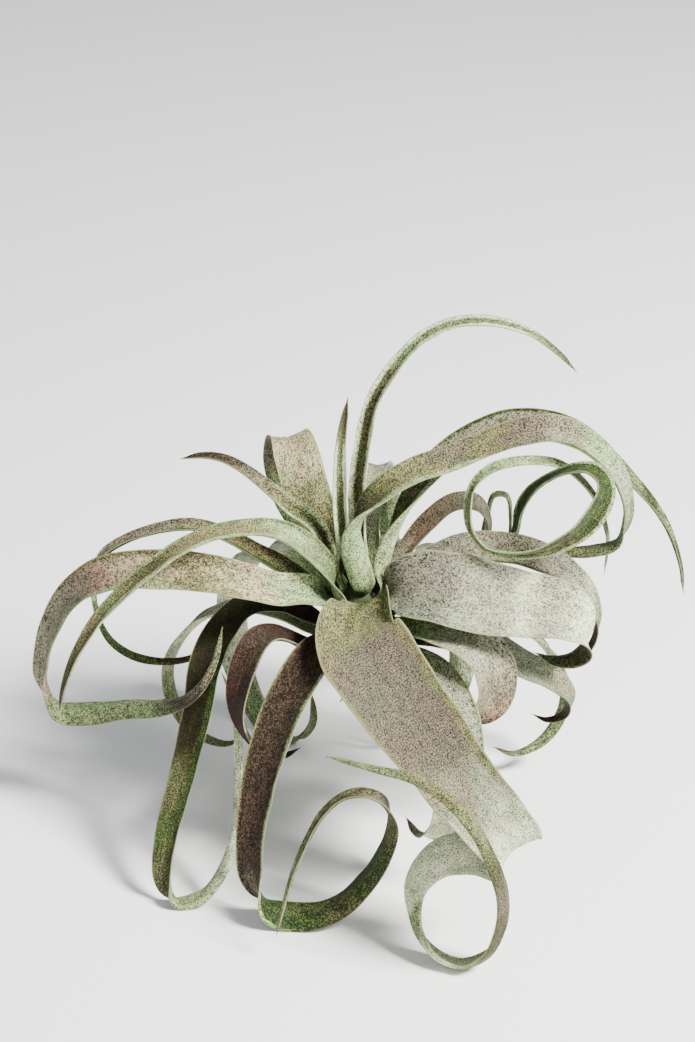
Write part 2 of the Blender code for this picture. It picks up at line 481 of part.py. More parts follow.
def base_rows(bearing, height, next_width):
    """The first two rows of a leaf, where it clasps the stem and turns outwards."""
    angle = math.radians(bearing)
    outward = Vector((math.cos(angle), math.sin(angle), 0))
    across = (math.sin(angle), -math.cos(angle), 0)
    radius = stem_radius(height) + BASE_GAP
    foot = outward * radius + Vector((0, 0, height))
    shoulder = outward * (radius + SHOULDER_OUT) + Vector((0, 0, height + SHOULDER_UP))
    return [
        (tuple(foot), min(BASE_WIDTH, next_width), FOOT_CUP, across),
        (tuple(shoulder), (BASE_WIDTH + next_width) / 2, SHOULDER_CUP, across),
    ]


def row_values(row):
    place, width, cup, across = row
    return [*place, width, cup, *Vector(across).normalized()]


def spline(rows, step):
    """Stations at an even spacing along a centripetal Catmull-Rom curve through the rows."""
    values = [row_values(row) for row in rows]
    values.insert(0, [2 * a - b for a, b in zip(values[0], values[1])])
    values.append([2 * a - b for a, b in zip(values[-1], values[-2])])
    knots = [0.0]
    for first, second in zip(values, values[1:]):
        gap = (Vector(second[:3]) - Vector(first[:3])).length
        knots.append(knots[-1] + math.sqrt(gap))

    def blend(left, right, start, end, knot):
        share = (knot - start) / (end - start)
        return [a + (b - a) * share for a, b in zip(left, right)]

    dense = []
    for i in range(1, len(values) - 2):
        p, k = values[i - 1:i + 3], knots[i - 1:i + 3]
        for piece in range(CURVE_SAMPLES):
            knot = k[1] + (k[2] - k[1]) * piece / CURVE_SAMPLES
            a1 = blend(p[0], p[1], k[0], k[1], knot)
            a2 = blend(p[1], p[2], k[1], k[2], knot)
            a3 = blend(p[2], p[3], k[2], k[3], knot)
            b1 = blend(a1, a2, k[0], k[2], knot)
            b2 = blend(a2, a3, k[1], k[3], knot)
            dense.append(blend(b1, b2, k[1], k[2], knot))
    dense.append(values[-2])

    lengths = [0.0]
    for first, second in zip(dense, dense[1:]):
        lengths.append(lengths[-1] + (Vector(second[:3]) - Vector(first[:3])).length)
    count = max(FEWEST_STATIONS, round(lengths[-1] / step))
    stations = []
    cursor = 0
    for number in range(count + 1):
        wanted = lengths[-1] * number / count
        while cursor < len(dense) - 2 and lengths[cursor + 1] < wanted:
            cursor += 1
        near, far = lengths[cursor], lengths[cursor + 1]
        stations.append(blend(dense[cursor], dense[cursor + 1], near, far, wanted))
    return stations


def ring_points(station, tangent, spread):
    """One closed section of the blade, margin to margin over the top and back below."""
    centre = Vector(station[:3])
    width, cup = station[3], math.radians(station[4])
    across = Vector(station[5:8])
    across = (across - tangent * across.dot(tangent)).normalized()
    normal = across.cross(tangent).normalized()
    bend = width / cup
    half = min(LEAF_THICKNESS, width * THINNEST_CORE) / 2
    rim = min(RIM_THICKNESS, width * THINNEST_RIM) / 2

    def surface(share, side):
        angle = share * cup / 2
        inward = normal * math.cos(angle) - across * math.sin(angle)
        place = centre + across * (bend * math.sin(angle))
        place += normal * (bend * (1 - math.cos(angle)))
        depth = rim + (half - rim) * (1 - share ** 2)
        return place + inward * (depth * side)

    top = [surface(share, 1) for share in spread]
    below = [surface(share, -1) for share in reversed(spread)]
    return top + below


def make_leaf(name, rows, material):
    """Sweep the channelled section along the leaf and close both ends."""
    stations = spline(rows, STATION_STEP)
    widest = max(station[3] for station in stations)
    spread = (-1, -0.5, 0, 0.5, 1) if widest > BROAD_WIDTH else (-1, 0, 1)
    mesh_data = bmesh.new()
    rings = []
    for index, station in enumerate(stations):
        before = Vector(stations[max(index - 1, 0)][:3])
        after = Vector(stations[min(index + 1, len(stations) - 1)][:3])
        tangent = (after - before).normalized()
        points = ring_points(station, tangent, spread)
        rings.append([mesh_data.verts.new(point * MM) for point in points])
    size = len(rings[0])
    for first, second in zip(rings, rings[1:]):
        for corner in range(size):
            beside = (corner + 1) % size
            mesh_data.faces.new((first[corner], first[beside], second[beside], second[corner]))
    mesh_data.faces.new(list(reversed(rings[0])))
    mesh_data.faces.new(rings[-1])
    bmesh.ops.triangulate(mesh_data, faces=mesh_data.faces[:])
    bmesh.ops.recalc_face_normals(mesh_data, faces=mesh_data.faces[:])
    return finish_object(name, mesh_data, material)


def finish_object(name, mesh_data, material):
    mesh = bpy.data.meshes.new(name)
    mesh_data.to_mesh(mesh)
    mesh_data.free()
    mesh.materials.append(material)
    mesh.shade_smooth()
    mesh.set_sharp_from_angle(angle=math.radians(SHARP_EDGE))
    item = bpy.data.objects.new(name, mesh)
    bpy.context.collection.objects.link(item)
    return item


def make_stem(material):
    """The short woody stem, turned from its outline, with a flat trimmed underside."""
    mesh_data = bmesh.new()
    rings = []
    for height, radius in STEM_PROFILE:
        ring = []
        for side in range(STEM_SIDES):
            angle = 2 * math.pi * side / STEM_SIDES
            place = Vector((radius * math.cos(angle), radius * math.sin(angle), height))
            ring.append(mesh_data.verts.new(place * MM))
        rings.append(ring)
    for lower, upper in zip(rings, rings[1:]):
        for side in range(STEM_SIDES):
            beside = (side + 1) % STEM_SIDES
            mesh_data.faces.new((lower[side], lower[beside], upper[beside], upper[side]))
    mesh_data.faces.new(list(reversed(rings[0])))
    mesh_data.faces.new(rings[-1])
    bmesh.ops.recalc_face_normals(mesh_data, faces=mesh_data.faces[:])
    return finish_object("stem", mesh_data, material)


def make_root(name, bearing, length, material):
    """A dry root that leaves the trimmed underside and hangs in a slight curve."""
    angle = math.radians(bearing)
    outward = Vector((math.cos(angle), math.sin(angle), 0))
    mesh_data = bmesh.new()
    rings = []
    for step in range(ROOT_STEPS + 1):
        share = step / ROOT_STEPS
        centre = outward * (ROOT_START + ROOT_SPREAD * share ** 2)
        centre.z = STEM_BOTTOM - ROOT_GAP - length * share
        radius = ROOT_RADIUS * (1 - ROOT_TAPER * share)
        ring = []
        for side in range(ROOT_SIDES):
            turn = 2 * math.pi * side / ROOT_SIDES
            offset = Vector((math.cos(turn), math.sin(turn), 0)) * radius
            ring.append(mesh_data.verts.new((centre + offset) * MM))
        rings.append(ring)
    for upper, lower in zip(rings, rings[1:]):
        for side in range(ROOT_SIDES):
            beside = (side + 1) % ROOT_SIDES
            mesh_data.faces.new((upper[side], upper[beside], lower[beside], lower[side]))
    mesh_data.faces.new(rings[0])
    mesh_data.faces.new(list(reversed(rings[-1])))
    bmesh.ops.recalc_face_normals(mesh_data, faces=mesh_data.faces[:])
    return finish_object(name, mesh_data, material)


def stand_on_floor(items):
    """Put the bottom centre of the whole plant's box at the origin."""
    corners = [vertex.co for item in items for vertex in item.data.vertices]
    low = Vector([min(corner[axis] for corner in corners) for axis in range(3)])
    high = Vector([max(corner[axis] for corner in corners) for axis in range(3)])
    shift = Vector((-(low.x + high.x) / 2, -(low.y + high.y) / 2, -low.z))
    for item in items:
        for vertex in item.data.vertices:
            vertex.co += shift


def build():
    clear_scene()
    materials = {slot: make_material(slot, colour, SKIN_ROUGHNESS) for slot, colour in COLOURS.items()}
    items = [make_stem(materials["stem_bark"])]
    for name, (bearing, length) in ROOTS.items():
        items.append(make_root(name, bearing, length, materials["root_fibre"]))
    for name, (slot, bearing, height, rows) in LEAVES.items():
        all_rows = base_rows(bearing, height, rows[0][1]) + rows
        items.append(make_leaf(name, all_rows, materials[slot]))
    stand_on_floor(items)


build()
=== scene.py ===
"""The air plant's looks: each leaf rebuilt finely on its CAD blade, with scaly leaf surfaces.

Leaf points repeat the part's own list, in millimetres from the crown, which is found
from the stem's place in the frame.
"""

import math

import bpy
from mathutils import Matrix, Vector, noise


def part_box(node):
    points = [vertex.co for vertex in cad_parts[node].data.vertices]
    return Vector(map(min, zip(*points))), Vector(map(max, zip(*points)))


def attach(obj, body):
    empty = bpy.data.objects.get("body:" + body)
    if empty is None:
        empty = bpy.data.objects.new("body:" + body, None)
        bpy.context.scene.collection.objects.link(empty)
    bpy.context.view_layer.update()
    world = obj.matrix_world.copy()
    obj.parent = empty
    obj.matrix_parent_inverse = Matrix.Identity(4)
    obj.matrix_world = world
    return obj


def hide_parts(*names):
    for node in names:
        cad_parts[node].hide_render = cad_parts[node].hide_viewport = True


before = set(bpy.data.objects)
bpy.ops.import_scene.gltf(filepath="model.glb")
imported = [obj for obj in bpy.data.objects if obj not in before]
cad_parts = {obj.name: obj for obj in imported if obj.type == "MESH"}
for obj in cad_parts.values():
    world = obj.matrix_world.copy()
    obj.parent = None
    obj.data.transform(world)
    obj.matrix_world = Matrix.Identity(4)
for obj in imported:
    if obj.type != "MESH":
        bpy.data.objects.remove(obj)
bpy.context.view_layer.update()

MM = 0.001
GROUND_GAP = 0.1 * MM
FULL = 0.9999

# Leaf build, in millimetres.
STEM_BOTTOM = -27.0
BASE_GAP = 1.1
BASE_WIDTH = 5.5
BASE_CUP = 70
SHOULDER_REACH = 1.6
SHOULDER_RISE = 2.6
SHOULDER_CUP = 80
LEAF_THICKNESS = 0.8
RIM_THICKNESS = 0.34
STATION_STEP = 0.9
CURVE_PIECES = 20
LEAST_STATIONS = 6
CALM_LENGTH = 16.0
POINT_LENGTH = 5.0
POINT_WIDTH = 0.15
WIDE_LEAF = 12
MIDDLE_LEAF = 7
EDGE_CROWDING = 0.35

# Relief of the leaf faces, in millimetres.
RIB_HEIGHT = 0.05
KEEL_DEPTH = 0.16
KEEL_WIDTH = 1.3
SWAY_HEIGHT = 0.5
SWAY_LENGTH = 17
RUFFLE_HEIGHT = 0.55
RUFFLE_LENGTH = 8
GRAIN_HEIGHT = 0.05
GRAIN_LENGTH = 1.4
GRAIN_WIDTH = 1.2
LIP_HEIGHT = 0.22
LIP_START = 0.86
WIDTH_SWAY = 0.05
WIDTH_SWAY_LENGTH = 11

# Dry fibres.
FIBRE_COUNT = 6
FIBRE_STEPS = 12
FIBRE_SIDES = 4
FIBRE_RADIUS = 0.075 * MM

# Floor, in metres, and camera.
FLOOR_REACH = 6.0
CAMERA_TILT = 28
CAMERA_DISTANCE = 0.6
CAMERA_AIM = (-2.6, 8.75, 16.45)
LENS = 76.8
SENSOR = 36.0

# Leaf coordinates: how far apart the two faces and the leaves lie, in millimetres.
FACE_SHIFT = 40
SEED_SHIFT = 9.7
SKIN_SHIFT = 31.0

# Tones along the leaf: how far they wander, and how softly a margin begins and ends.
WANDER = 0.05
WANDER_LENGTH = 9
MARGIN_BLUR = 0.12
MARGIN_START = 0.04
MARGIN_END = 0.06

STEM_PROFILE = [
    (STEM_BOTTOM, 3.6),
    (-24.0, 5.0),
    (-18.0, 6.4),
    (-11.0, 6.6),
    (-5.0, 5.4),
    (-1.0, 3.6),
    (1.5, 1.8),
]

# Each leaf: material, the bearing and height at which it leaves the stem, and its
# rows of (x, y, z), width, cup angle and the direction across the blade.
LEAVES = {
    "leaf_tall_arch": ("leaf_green", 72, 1, [
        ((1, 5, 14), 6, 110, (0.8, -0.6, 0)),
        ((0.5, 5, 26), 6.3, 120, (0.85, -0.5, 0)),
        ((1.5, 6.3, 38), 6, 130, (0.85, -0.5, -0.1)),
        ((4, 8, 51), 5.5, 130, (0.8, -0.5, -0.3)),
        ((9.5, 9, 61), 5, 130, (0.6, -0.6, -0.5)),
        ((17, 10, 69.5), 4.5, 130, (0.4, -0.7, -0.6)),
        ((25, 10, 73.5), 4, 120, (0.1, -0.7, -0.7)),
        ((34.5, 9, 74.5), 3.5, 110, (0, -0.7, -0.7)),
        ((44, 8, 72), 2.6, 100, (0, -0.7, -0.7)),
        ((52, 7, 66.5), 1.8, 80, (-0.2, -0.7, -0.6)),
        ((57, 6, 61.5), 0.8, 60, (-0.3, -0.7, -0.6)),
    ]),
    "leaf_centre_spear": ("leaf_green", 175, 1, [
        ((-3.5, 1.5, 10), 4.5, 110, (1, -0.2, 0)),
        ((-4.5, 3.5, 25.5), 5, 130, (1, -0.1, 0)),
        ((-4.5, 5, 40), 3.6, 130, (1, 0, 0)),
        ((-2.5, 6, 54.5), 0.8, 90, (1, 0, 0)),
    ]),
    "leaf_broad_back": ("leaf_tan", 124, -4, [
        ((-8.5, 9, 5), 10, 60, (0.9, 0.35, 0)),
        ((-11, 13, 13), 12, 50, (0.95, 0.3, 0)),
        ((-14, 16, 21.5), 13.5, 45, (0.95, 0.3, 0)),
        ((-16.5, 21, 29.5), 13, 40, (0.95, 0.3, 0)),
        ((-18, 27, 32), 12, 45, (0.95, 0.3, 0)),
        ((-20, 34, 28.5), 11, 50, (0.95, 0.3, 0)),
        ((-22, 39, 20), 9, 60, (0.95, 0.3, 0)),
        ((-21.5, 40, 10), 7, 70, (1, 0.2, 0)),
        ((-18, 37.5, 1.5), 5, 80, (1, 0.1, 0)),
        ((-14, 32.5, -2.5), 3, 80, (1, 0, 0)),
        ((-11, 27, -2), 0.8, 60, (1, 0, 0)),
    ]),
    "leaf_left_upper": ("leaf_silver", 150, -2, [
        ((-7.5, 3.5, 8), 5.5, 90, (0.5, 0.7, 0.3)),
        ((-12, 6, 17), 6.5, 80, (0.4, 0.75, 0.35)),
        ((-18, 8, 21), 6, 80, (0.4, 0.75, 0.35)),
        ((-24, 10, 25.5), 5, 90, (0.4, 0.75, 0.35)),
        ((-30, 12, 30), 4, 100, (0.3, 0.75, 0.4)),
        ((-36, 14, 32.5), 3.2, 100, (0.1, 0.8, 0.4)),
        ((-42, 15, 33), 2.2, 90, (0, 0.8, 0.4)),
        ((-48, 16, 31.5), 0.8, 60, (0, 0.8, 0.4)),
    ]),
    "leaf_left_front": ("leaf_silver", 214, -2.2, [
        ((-7.5, -4.7, 8), 7.5, 90, (0.3, 0.9, 0.3)),
        ((-12.5, -4.5, 13.5), 10, 95, (0.1, 0.9, 0.35)),
        ((-19, -4, 18.5), 9, 100, (0, 0.9, 0.35)),
        ((-27, -7, 22), 7, 120, (0, 0.95, 0.3)),
        ((-36, -10, 22.5), 6.5, 120, (0, 0.95, 0.3)),
        ((-45, -13, 20), 6.5, 110, (0, 0.9, 0.35)),
        ((-54, -16, 14.5), 6, 110, (-0.2, 0.85, 0.4)),
        ((-61, -17.5, 9), 5.5, 110, (-0.4, 0.8, 0.4)),
        ((-67, -18.5, 2.5), 5, 110, (-0.5, 0.8, 0.35)),
        ((-72, -19, -5), 4.2, 110, (-0.6, 0.75, 0.25)),
        ((-76, -19, -13), 3, 100, (-0.6, 0.75, 0.2)),
        ((-78.5, -18.5, -20.5), 2, 90, (-0.6, 0.75, 0.2)),
        ((-80, -18, -27.5), 0.8, 60, (-0.6, 0.75, 0.2)),
    ]),
    "leaf_left_back_curl": ("leaf_tan", 156, -8, [
        ((-13.5, 4.5, -1), 6, 70, (0.2, 0.9, 0.4)),
        ((-21, 8, 3), 6.5, 80, (0, 0.9, 0.4)),
        ((-28, 10.5, 6), 6, 90, (0, 0.9, 0.4)),
        ((-36, 13, 9.5), 5.5, 100, (0, 0.9, 0.4)),
        ((-45, 14, 12), 5, 110, (0, 0.9, 0.4)),
        ((-55, 14.5, 10.5), 4.5, 110, (0, 0.9, 0.4)),
        ((-63, 14.5, 7.5), 4.2, 110, (0, 0.9, 0.35)),
        ((-70, 14, 2.5), 4, 110, (-0.2, 0.9, 0.2)),
        ((-72.5, 12.5, -6), 3.8, 110, (-0.2, 0.9, 0.1)),
        ((-71.5, 11, -15), 3.6, 110, (-0.2, 0.9, 0.2)),
        ((-68, 10, -22), 3.4, 110, (0, 0.9, 0.3)),
        ((-61, 9, -26.5), 3.2, 110, (0, 0.9, 0.4)),
        ((-51, 8.5, -27.5), 2.6, 100, (0, 0.9, 0.4)),
        ((-42, 8, -24.5), 2, 90, (0, 0.9, 0.4)),
        ((-33.5, 8, -19.5), 0.8, 60, (0, 0.9, 0.4)),
    ]),
    "leaf_left_broad": ("leaf_silver", 208, -5, [
        ((-13, -7.2, 3.2), 10.5, 95, (0.2, 0.88, 0.35)),
        ((-21, -10, 5.2), 11, 90, (0, 0.75, 0.6)),
        ((-31, -11, 9), 11, 75, (0, 0.65, 0.75)),
        ((-43, -11, 11.5), 11.5, 65, (0, 0.65, 0.75)),
        ((-57, -8, 10.5), 11.5, 65, (0, 0.65, 0.75)),
        ((-68, -5, 7), 11, 70, (-0.1, 0.7, 0.7)),
        ((-77, -1, -1.5), 10, 80, (-0.3, 0.75, 0.55)),
        ((-82.5, 1, -11.5), 9.5, 80, (-0.45, 0.8, 0.3)),
        ((-85.5, 2, -21), 9, 80, (-0.5, 0.8, 0.2)),
        ((-86.5, 2, -31), 8.5, 80, (-0.4, 0.85, 0.2)),
        ((-82.5, 1, -38.5), 8.5, 80, (-0.2, 0.9, 0.3)),
        ((-74, -1.5, -38), 8, 70, (0, 0.9, 0.4)),
        ((-64, -6.5, -33.5), 7, 60, (0, 0.9, 0.4)),
        ((-53.5, -14, -28.5), 5.5, 60, (0, 0.9, 0.4)),
        ((-46, -20.5, -22), 4.2, 70, (-0.2, 0.9, 0.35)),
        ((-41, -23, -15.5), 3.2, 80, (-0.5, 0.8, 0.2)),
        ((-37.5, -21, -9), 2.2, 80, (-0.7, 0.7, 0)),
        ((-35.5, -16.5, -1.5), 0.8, 60, (-0.8, 0.6, 0)),
    ]),
    "leaf_left_loop": ("leaf_green", 184, -13, [
        ((-12, -2, -7.5), 6, 80, (0, 0.85, 0.4)),
        ((-19, -1, -4.5), 7, 80, (0, 0.85, 0.4)),
        ((-29, -1.5, -4), 8, 70, (-0.4, 0.7, 0.5)),
        ((-36.5, -5, -9.5), 9, 60, (-0.8, 0.35, 0.3)),
        ((-41, -10.5, -17.5), 9, 60, (-0.95, 0.1, 0.1)),
        ((-42.5, -16, -26.5), 8.5, 60, (-0.95, 0.1, 0)),
        ((-45, -22, -35.5), 8, 65, (-0.95, 0.1, 0)),
        ((-48, -28.5, -46), 7.5, 70, (-0.95, 0.1, 0)),
        ((-51, -35.5, -56), 7, 80, (-0.9, 0.3, 0)),
        ((-51.5, -41.5, -65), 6.2, 80, (-0.8, 0.5, 0.1)),
        ((-48, -44.5, -69.8), 5.6, 80, (-0.4, 0.85, 0.2)),
        ((-42.5, -44, -69.3), 5.2, 80, (-0.1, 0.9, 0.3)),
        ((-37, -41.5, -63.5), 4.8, 80, (-0.4, 0.9, 0)),
        ((-33.3, -36.5, -55), 4.4, 90, (-0.5, 0.8, 0)),
        ((-32.2, -29, -42), 4, 90, (-0.5, 0.8, 0)),
        ((-32.4, -22.5, -30), 3.4, 90, (-0.5, 0.8, 0)),
        ((-34, -17.5, -22), 2.2, 80, (-0.5, 0.8, 0)),
        ((-36.5, -14.5, -16.5), 0.8, 60, (-0.5, 0.8, 0)),
    ]),
    "leaf_right_arch": ("leaf_silver", 300, 0.5, [
        ((1, -5, 8), 8.5, 120, (-1, -0.2, 0)),
        ((-0.3, -3.8, 15), 8.5, 130, (-0.9, -0.45, 0)),
        ((1.2, -1.5, 22.5), 8.5, 120, (-0.1, -1, 0)),
        ((6.5, 0, 29.5), 8.5, 95, (0.4, -0.8, -0.4)),
        ((14, 2, 34), 8.5, 85, (0.2, -0.75, -0.65)),
        ((24, 4, 37), 8.5, 70, (0, -0.7, -0.7)),
        ((34, 5, 41), 8.5, 70, (0, -0.7, -0.7)),
        ((43.5, 5, 44.5), 8.5, 70, (0, -0.7, -0.7)),
        ((51.5, 5, 45.5), 8.5, 75, (0, -0.7, -0.7)),
        ((59, 5, 42.5), 8.5, 80, (-0.1, -0.75, -0.6)),
        ((66, 4, 36.5), 8, 80, (-0.3, -0.8, -0.4)),
        ((70.5, 3, 28), 7.5, 80, (-0.45, -0.85, -0.1)),
        ((71.5, 3, 20.5), 7, 80, (-0.45, -0.85, 0)),
        ((69.5, 3, 13.5), 6, 80, (-0.2, -0.9, -0.1)),
        ((64, 4, 10.5), 5, 90, (0, -0.9, -0.3)),
        ((57.5, 5.5, 9), 4, 90, (0, -0.9, -0.3)),
        ((51.5, 7, 8), 2.4, 80, (0, -0.9, -0.3)),
        ((47, 8, 7.5), 0.8, 60, (0, -0.9, -0.3)),
    ]),
    "leaf_right_back_arch": ("leaf_tan", 12, -2, [
        ((8, 2.5, 7), 9, 120, (-0.5, -0.85, 0.1)),
        ((10.5, 4.5, 15), 9, 120, (-0.2, -0.95, 0.1)),
        ((14.5, 7.5, 23), 8.5, 105, (0.2, -0.9, -0.2)),
        ((19.5, 11, 30), 8, 75, (0.4, -0.7, -0.6)),
        ((26, 13, 36), 8, 70, (0.2, -0.7, -0.65)),
        ((33, 14, 40.5), 7.5, 70, (0, -0.7, -0.7)),
        ((42, 15, 43), 7.5, 70, (0, -0.7, -0.7)),
        ((51.5, 16, 42.5), 7, 75, (0, -0.75, -0.65)),
        ((60.5, 16, 38.5), 6.5, 80, (-0.1, -0.8, -0.55)),
        ((68.5, 15, 31.5), 6, 80, (-0.2, -0.85, -0.4)),
        ((75, 14, 24.5), 5.4, 80, (-0.3, -0.85, -0.3)),
        ((80.5, 13.5, 18), 4.6, 80, (-0.3, -0.85, -0.2)),
        ((85, 12.5, 11), 3.6, 80, (-0.3, -0.9, -0.1)),
        ((88.5, 11, 2), 2.2, 70, (-0.3, -0.9, 0)),
        ((90, 10, -7.5), 0.8, 60, (-0.3, -0.9, 0)),
    ]),
    "leaf_right_ring": ("leaf_green", 10, -12, [
        ((14, 6, -6), 5, 80, (0, -1, 0)),
        ((25, 9, -2), 5, 80, (0, -1, 0)),
        ((36, 11, 3.5), 5, 80, (0, -1, 0)),
        ((43, 11.5, 10.5), 5, 80, (0.1, -1, 0)),
        ((44.2, 11, 18), 5, 80, (0.3, -0.95, 0)),
        ((46, 8, 24.5), 4.6, 80, (0.2, -0.95, -0.2)),
        ((50, 3, 31.5), 4.4, 80, (-0.3, -0.9, -0.4)),
        ((55.5, -1.5, 36.8), 4.8, 80, (-0.6, -0.7, -0.4)),
        ((61, -5.5, 38.6), 6.6, 70, (-0.75, -0.65, 0)),
        ((63.5, -8.5, 36), 7.8, 60, (-0.65, -0.5, 0.4)),
        ((62.5, -10.5, 31.5), 8.2, 60, (-0.65, -0.35, 0.6)),
        ((59, -12, 26.5), 7.8, 60, (-0.6, -0.35, 0.65)),
        ((54, -12.5, 22), 6.6, 60, (-0.35, -0.4, 0.8)),
        ((48, -11.5, 18.5), 5.4, 70, (-0.1, -0.5, 0.85)),
        ((40.5, -9.5, 16.5), 3.8, 80, (0, -0.6, 0.8)),
        ((34, -7, 17), 3.6, 90, (0.2, -0.75, 0.6)),
        ((30.3, -5, 21), 3.4, 90, (0.5, -0.85, 0.2)),
        ((29.3, -3, 26), 3.3, 90, (0.6, -0.8, 0)),
        ((30.3, -1, 31.5), 3.2, 90, (0.5, -0.8, -0.2)),
        ((34, 0.5, 35.5), 3.1, 90, (0.2, -0.75, -0.6)),
        ((40, 1.5, 37.6), 3, 90, (0, -0.7, -0.7)),
        ((47, 3, 37.5), 2.9, 90, (0, -0.7, -0.7)),
        ((53.5, 5, 35.3), 2.8, 90, (-0.1, -0.7, -0.6)),
        ((59.5, 5.8, 30.3), 2.6, 90, (-0.3, -0.8, -0.4)),
        ((64.3, 5.5, 23.5), 2.4, 90, (-0.4, -0.9, 0)),
        ((67, 7.5, 15), 2, 90, (-0.4, -0.8, -0.3)),
        ((68.3, 11, 8.5), 1.6, 80, (-0.4, -0.8, -0.3)),
        ((68, 12.5, -2.5), 0.8, 60, (-0.4, -0.8, 0)),
    ]),
    "leaf_back_right_short": ("leaf_tan", 42, -9, [
        ((13, 13, 4), 6, 80, (0.3, -0.8, -0.5)),
        ((20, 17, 12), 6.5, 80, (0.1, -0.8, -0.6)),
        ((27, 20, 16), 6.5, 80, (0, -0.8, -0.6)),
        ((33, 21, 15), 6, 80, (-0.1, -0.85, -0.5)),
        ((36, 22, 9), 5, 80, (-0.2, -0.9, -0.2)),
        ((35.5, 22.5, 2), 3.6, 80, (-0.2, -0.9, 0)),
        ((32, 22.5, -4), 2, 70, (0, -0.95, 0.1)),
        ((28, 22, -6.5), 0.8, 60, (0, -0.95, 0.2)),
    ]),
    "leaf_right_broad": ("leaf_silver", 328, -5, [
        ((11, -6, 3.5), 15, 85, (0.2, -0.85, -0.5)),
        ((15.5, -8.5, 5.5), 20.5, 75, (0, -0.8, -0.6)),
        ((23, -10.5, 5.5), 22.5, 65, (0, -0.8, -0.6)),
        ((33, -12.5, 4), 22, 55, (0, -0.8, -0.6)),
        ((43, -14.5, 3), 20, 50, (0, -0.8, -0.6)),
        ((52, -16, 2.5), 18, 50, (0, -0.8, -0.6)),
        ((58.5, -16.5, -1), 16, 50, (-0.1, -0.85, -0.5)),
        ((60.5, -16.5, -6.5), 13, 55, (-0.1, -0.95, -0.2)),
        ((57.5, -16, -11), 9, 60, (0, -1, 0)),
        ((52, -15, -12.5), 5, 70, (0, -1, 0)),
        ((47, -14, -11), 0.8, 60, (0, -1, 0)),
    ]),
    "leaf_right_upper": ("leaf_tan", 4, -6.5, [
        ((12, 4, -0.5), 7, 80, (0, -0.85, -0.5)),
        ((20, 3, 7), 8.5, 70, (0, -0.8, -0.6)),
        ((30, 2.5, 11), 10, 60, (0, -0.8, -0.6)),
        ((40, 1.5, 11.5), 10, 60, (0, -0.8, -0.6)),
        ((49, 0.5, 9.5), 9.5, 60, (0, -0.8, -0.6)),
        ((57, -1, 5), 9, 60, (-0.1, -0.85, -0.5)),
        ((62.5, -2.5, -1.5), 8, 60, (-0.3, -0.9, -0.3)),
        ((64.5, -4, -9), 6, 70, (-0.2, -0.95, -0.1)),
        ((62, -5, -16), 3.5, 80, (0, -1, 0)),
        ((57, -5, -19.5), 0.8, 60, (0, -1, 0)),
    ]),
    "leaf_right_low": ("leaf_green", 340, -14, [
        ((12, -6, -11), 6, 80, (0.2, -0.85, -0.4)),
        ((22, -9, -9.5), 8, 70, (0.1, -0.85, -0.5)),
        ((34, -12.5, -9.5), 9.5, 65, (0, -0.85, -0.5)),
        ((44, -14.5, -15), 9.5, 65, (-0.1, -0.85, -0.4)),
        ((52, -15.5, -19), 9, 70, (-0.2, -0.9, -0.3)),
        ((56.5, -15.5, -24.5), 8, 75, (-0.3, -0.95, 0)),
        ((55.5, -14.5, -30), 5.5, 80, (-0.1, -0.95, 0.2)),
        ((51, -13.5, -32.5), 2.8, 80, (0, -0.95, 0.2)),
        ((47, -13, -31), 0.8, 60, (0, -0.95, 0.2)),
    ]),
    "leaf_right_front_low": ("leaf_silver", 312, -10, [
        ((11, -10, -6.5), 8.5, 80, (-0.4, -0.8, -0.2)),
        ((20, -13.5, -5), 12.5, 70, (-0.5, -0.8, -0.2)),
        ((28.5, -18, -5.5), 15, 65, (-0.6, -0.75, -0.2)),
        ((34.5, -21, -10), 15, 60, (-0.75, -0.6, -0.1)),
        ((36, -22.8, -17), 13.2, 65, (-0.85, -0.5, 0)),
        ((34.2, -22.8, -23.5), 10.3, 75, (-0.85, -0.4, 0.2)),
        ((31.2, -21.8, -27.5), 5.5, 80, (-0.8, -0.4, 0.3)),
        ((28.7, -20, -29), 0.8, 60, (-0.8, -0.4, 0.3)),
    ]),
    "leaf_front_under": ("leaf_tan", 290, -16, [
        ((6.5, -13, -13.5), 11, 80, (-0.85, -0.4, -0.1)),
        ((13, -18.5, -13.5), 16, 65, (-0.85, -0.45, -0.1)),
        ((19.5, -25, -16), 17.5, 55, (-0.85, -0.45, -0.1)),
        ((24, -32, -22.5), 17, 50, (-0.9, -0.4, -0.1)),
        ((25.5, -38, -33), 15, 50, (-0.95, -0.3, 0)),
        ((24.5, -41, -44), 11.5, 55, (-0.95, -0.2, 0.1)),
        ((20, -38, -53), 7.5, 65, (-0.95, -0.2, 0.2)),
        ((16, -32.5, -56), 3.5, 70, (-0.95, -0.2, 0.3)),
        ((13, -27, -55), 0.8, 60, (-0.95, -0.2, 0.3)),
    ]),
    "leaf_front_broad": ("leaf_silver", 284, -3, [
        ((2.4, -10.3, 1.3), 16.5, 84, (-0.89, -0.22, -0.4)),
        ((0.6, -15, -2.4), 23.5, 74, (-0.87, -0.29, -0.4)),
        ((2, -22, -6), 26, 60, (-0.88, -0.33, -0.32)),
        ((9.5, -34, -12.5), 25, 50, (-0.88, -0.36, -0.26)),
        ((18.5, -46, -19), 22, 45, (-0.85, -0.38, -0.35)),
        ((27, -57, -25.5), 19.5, 40, (-0.8, -0.4, -0.42)),
        ((34.5, -65.5, -30.5), 18, 40, (-0.75, -0.4, -0.5)),
        ((38.5, -68, -35.5), 17, 45, (-0.7, -0.4, -0.57)),
        ((36, -65.5, -39.5), 14.5, 55, (-0.6, -0.4, -0.68)),
        ((28.5, -62.5, -41), 12, 60, (-0.4, -0.4, -0.8)),
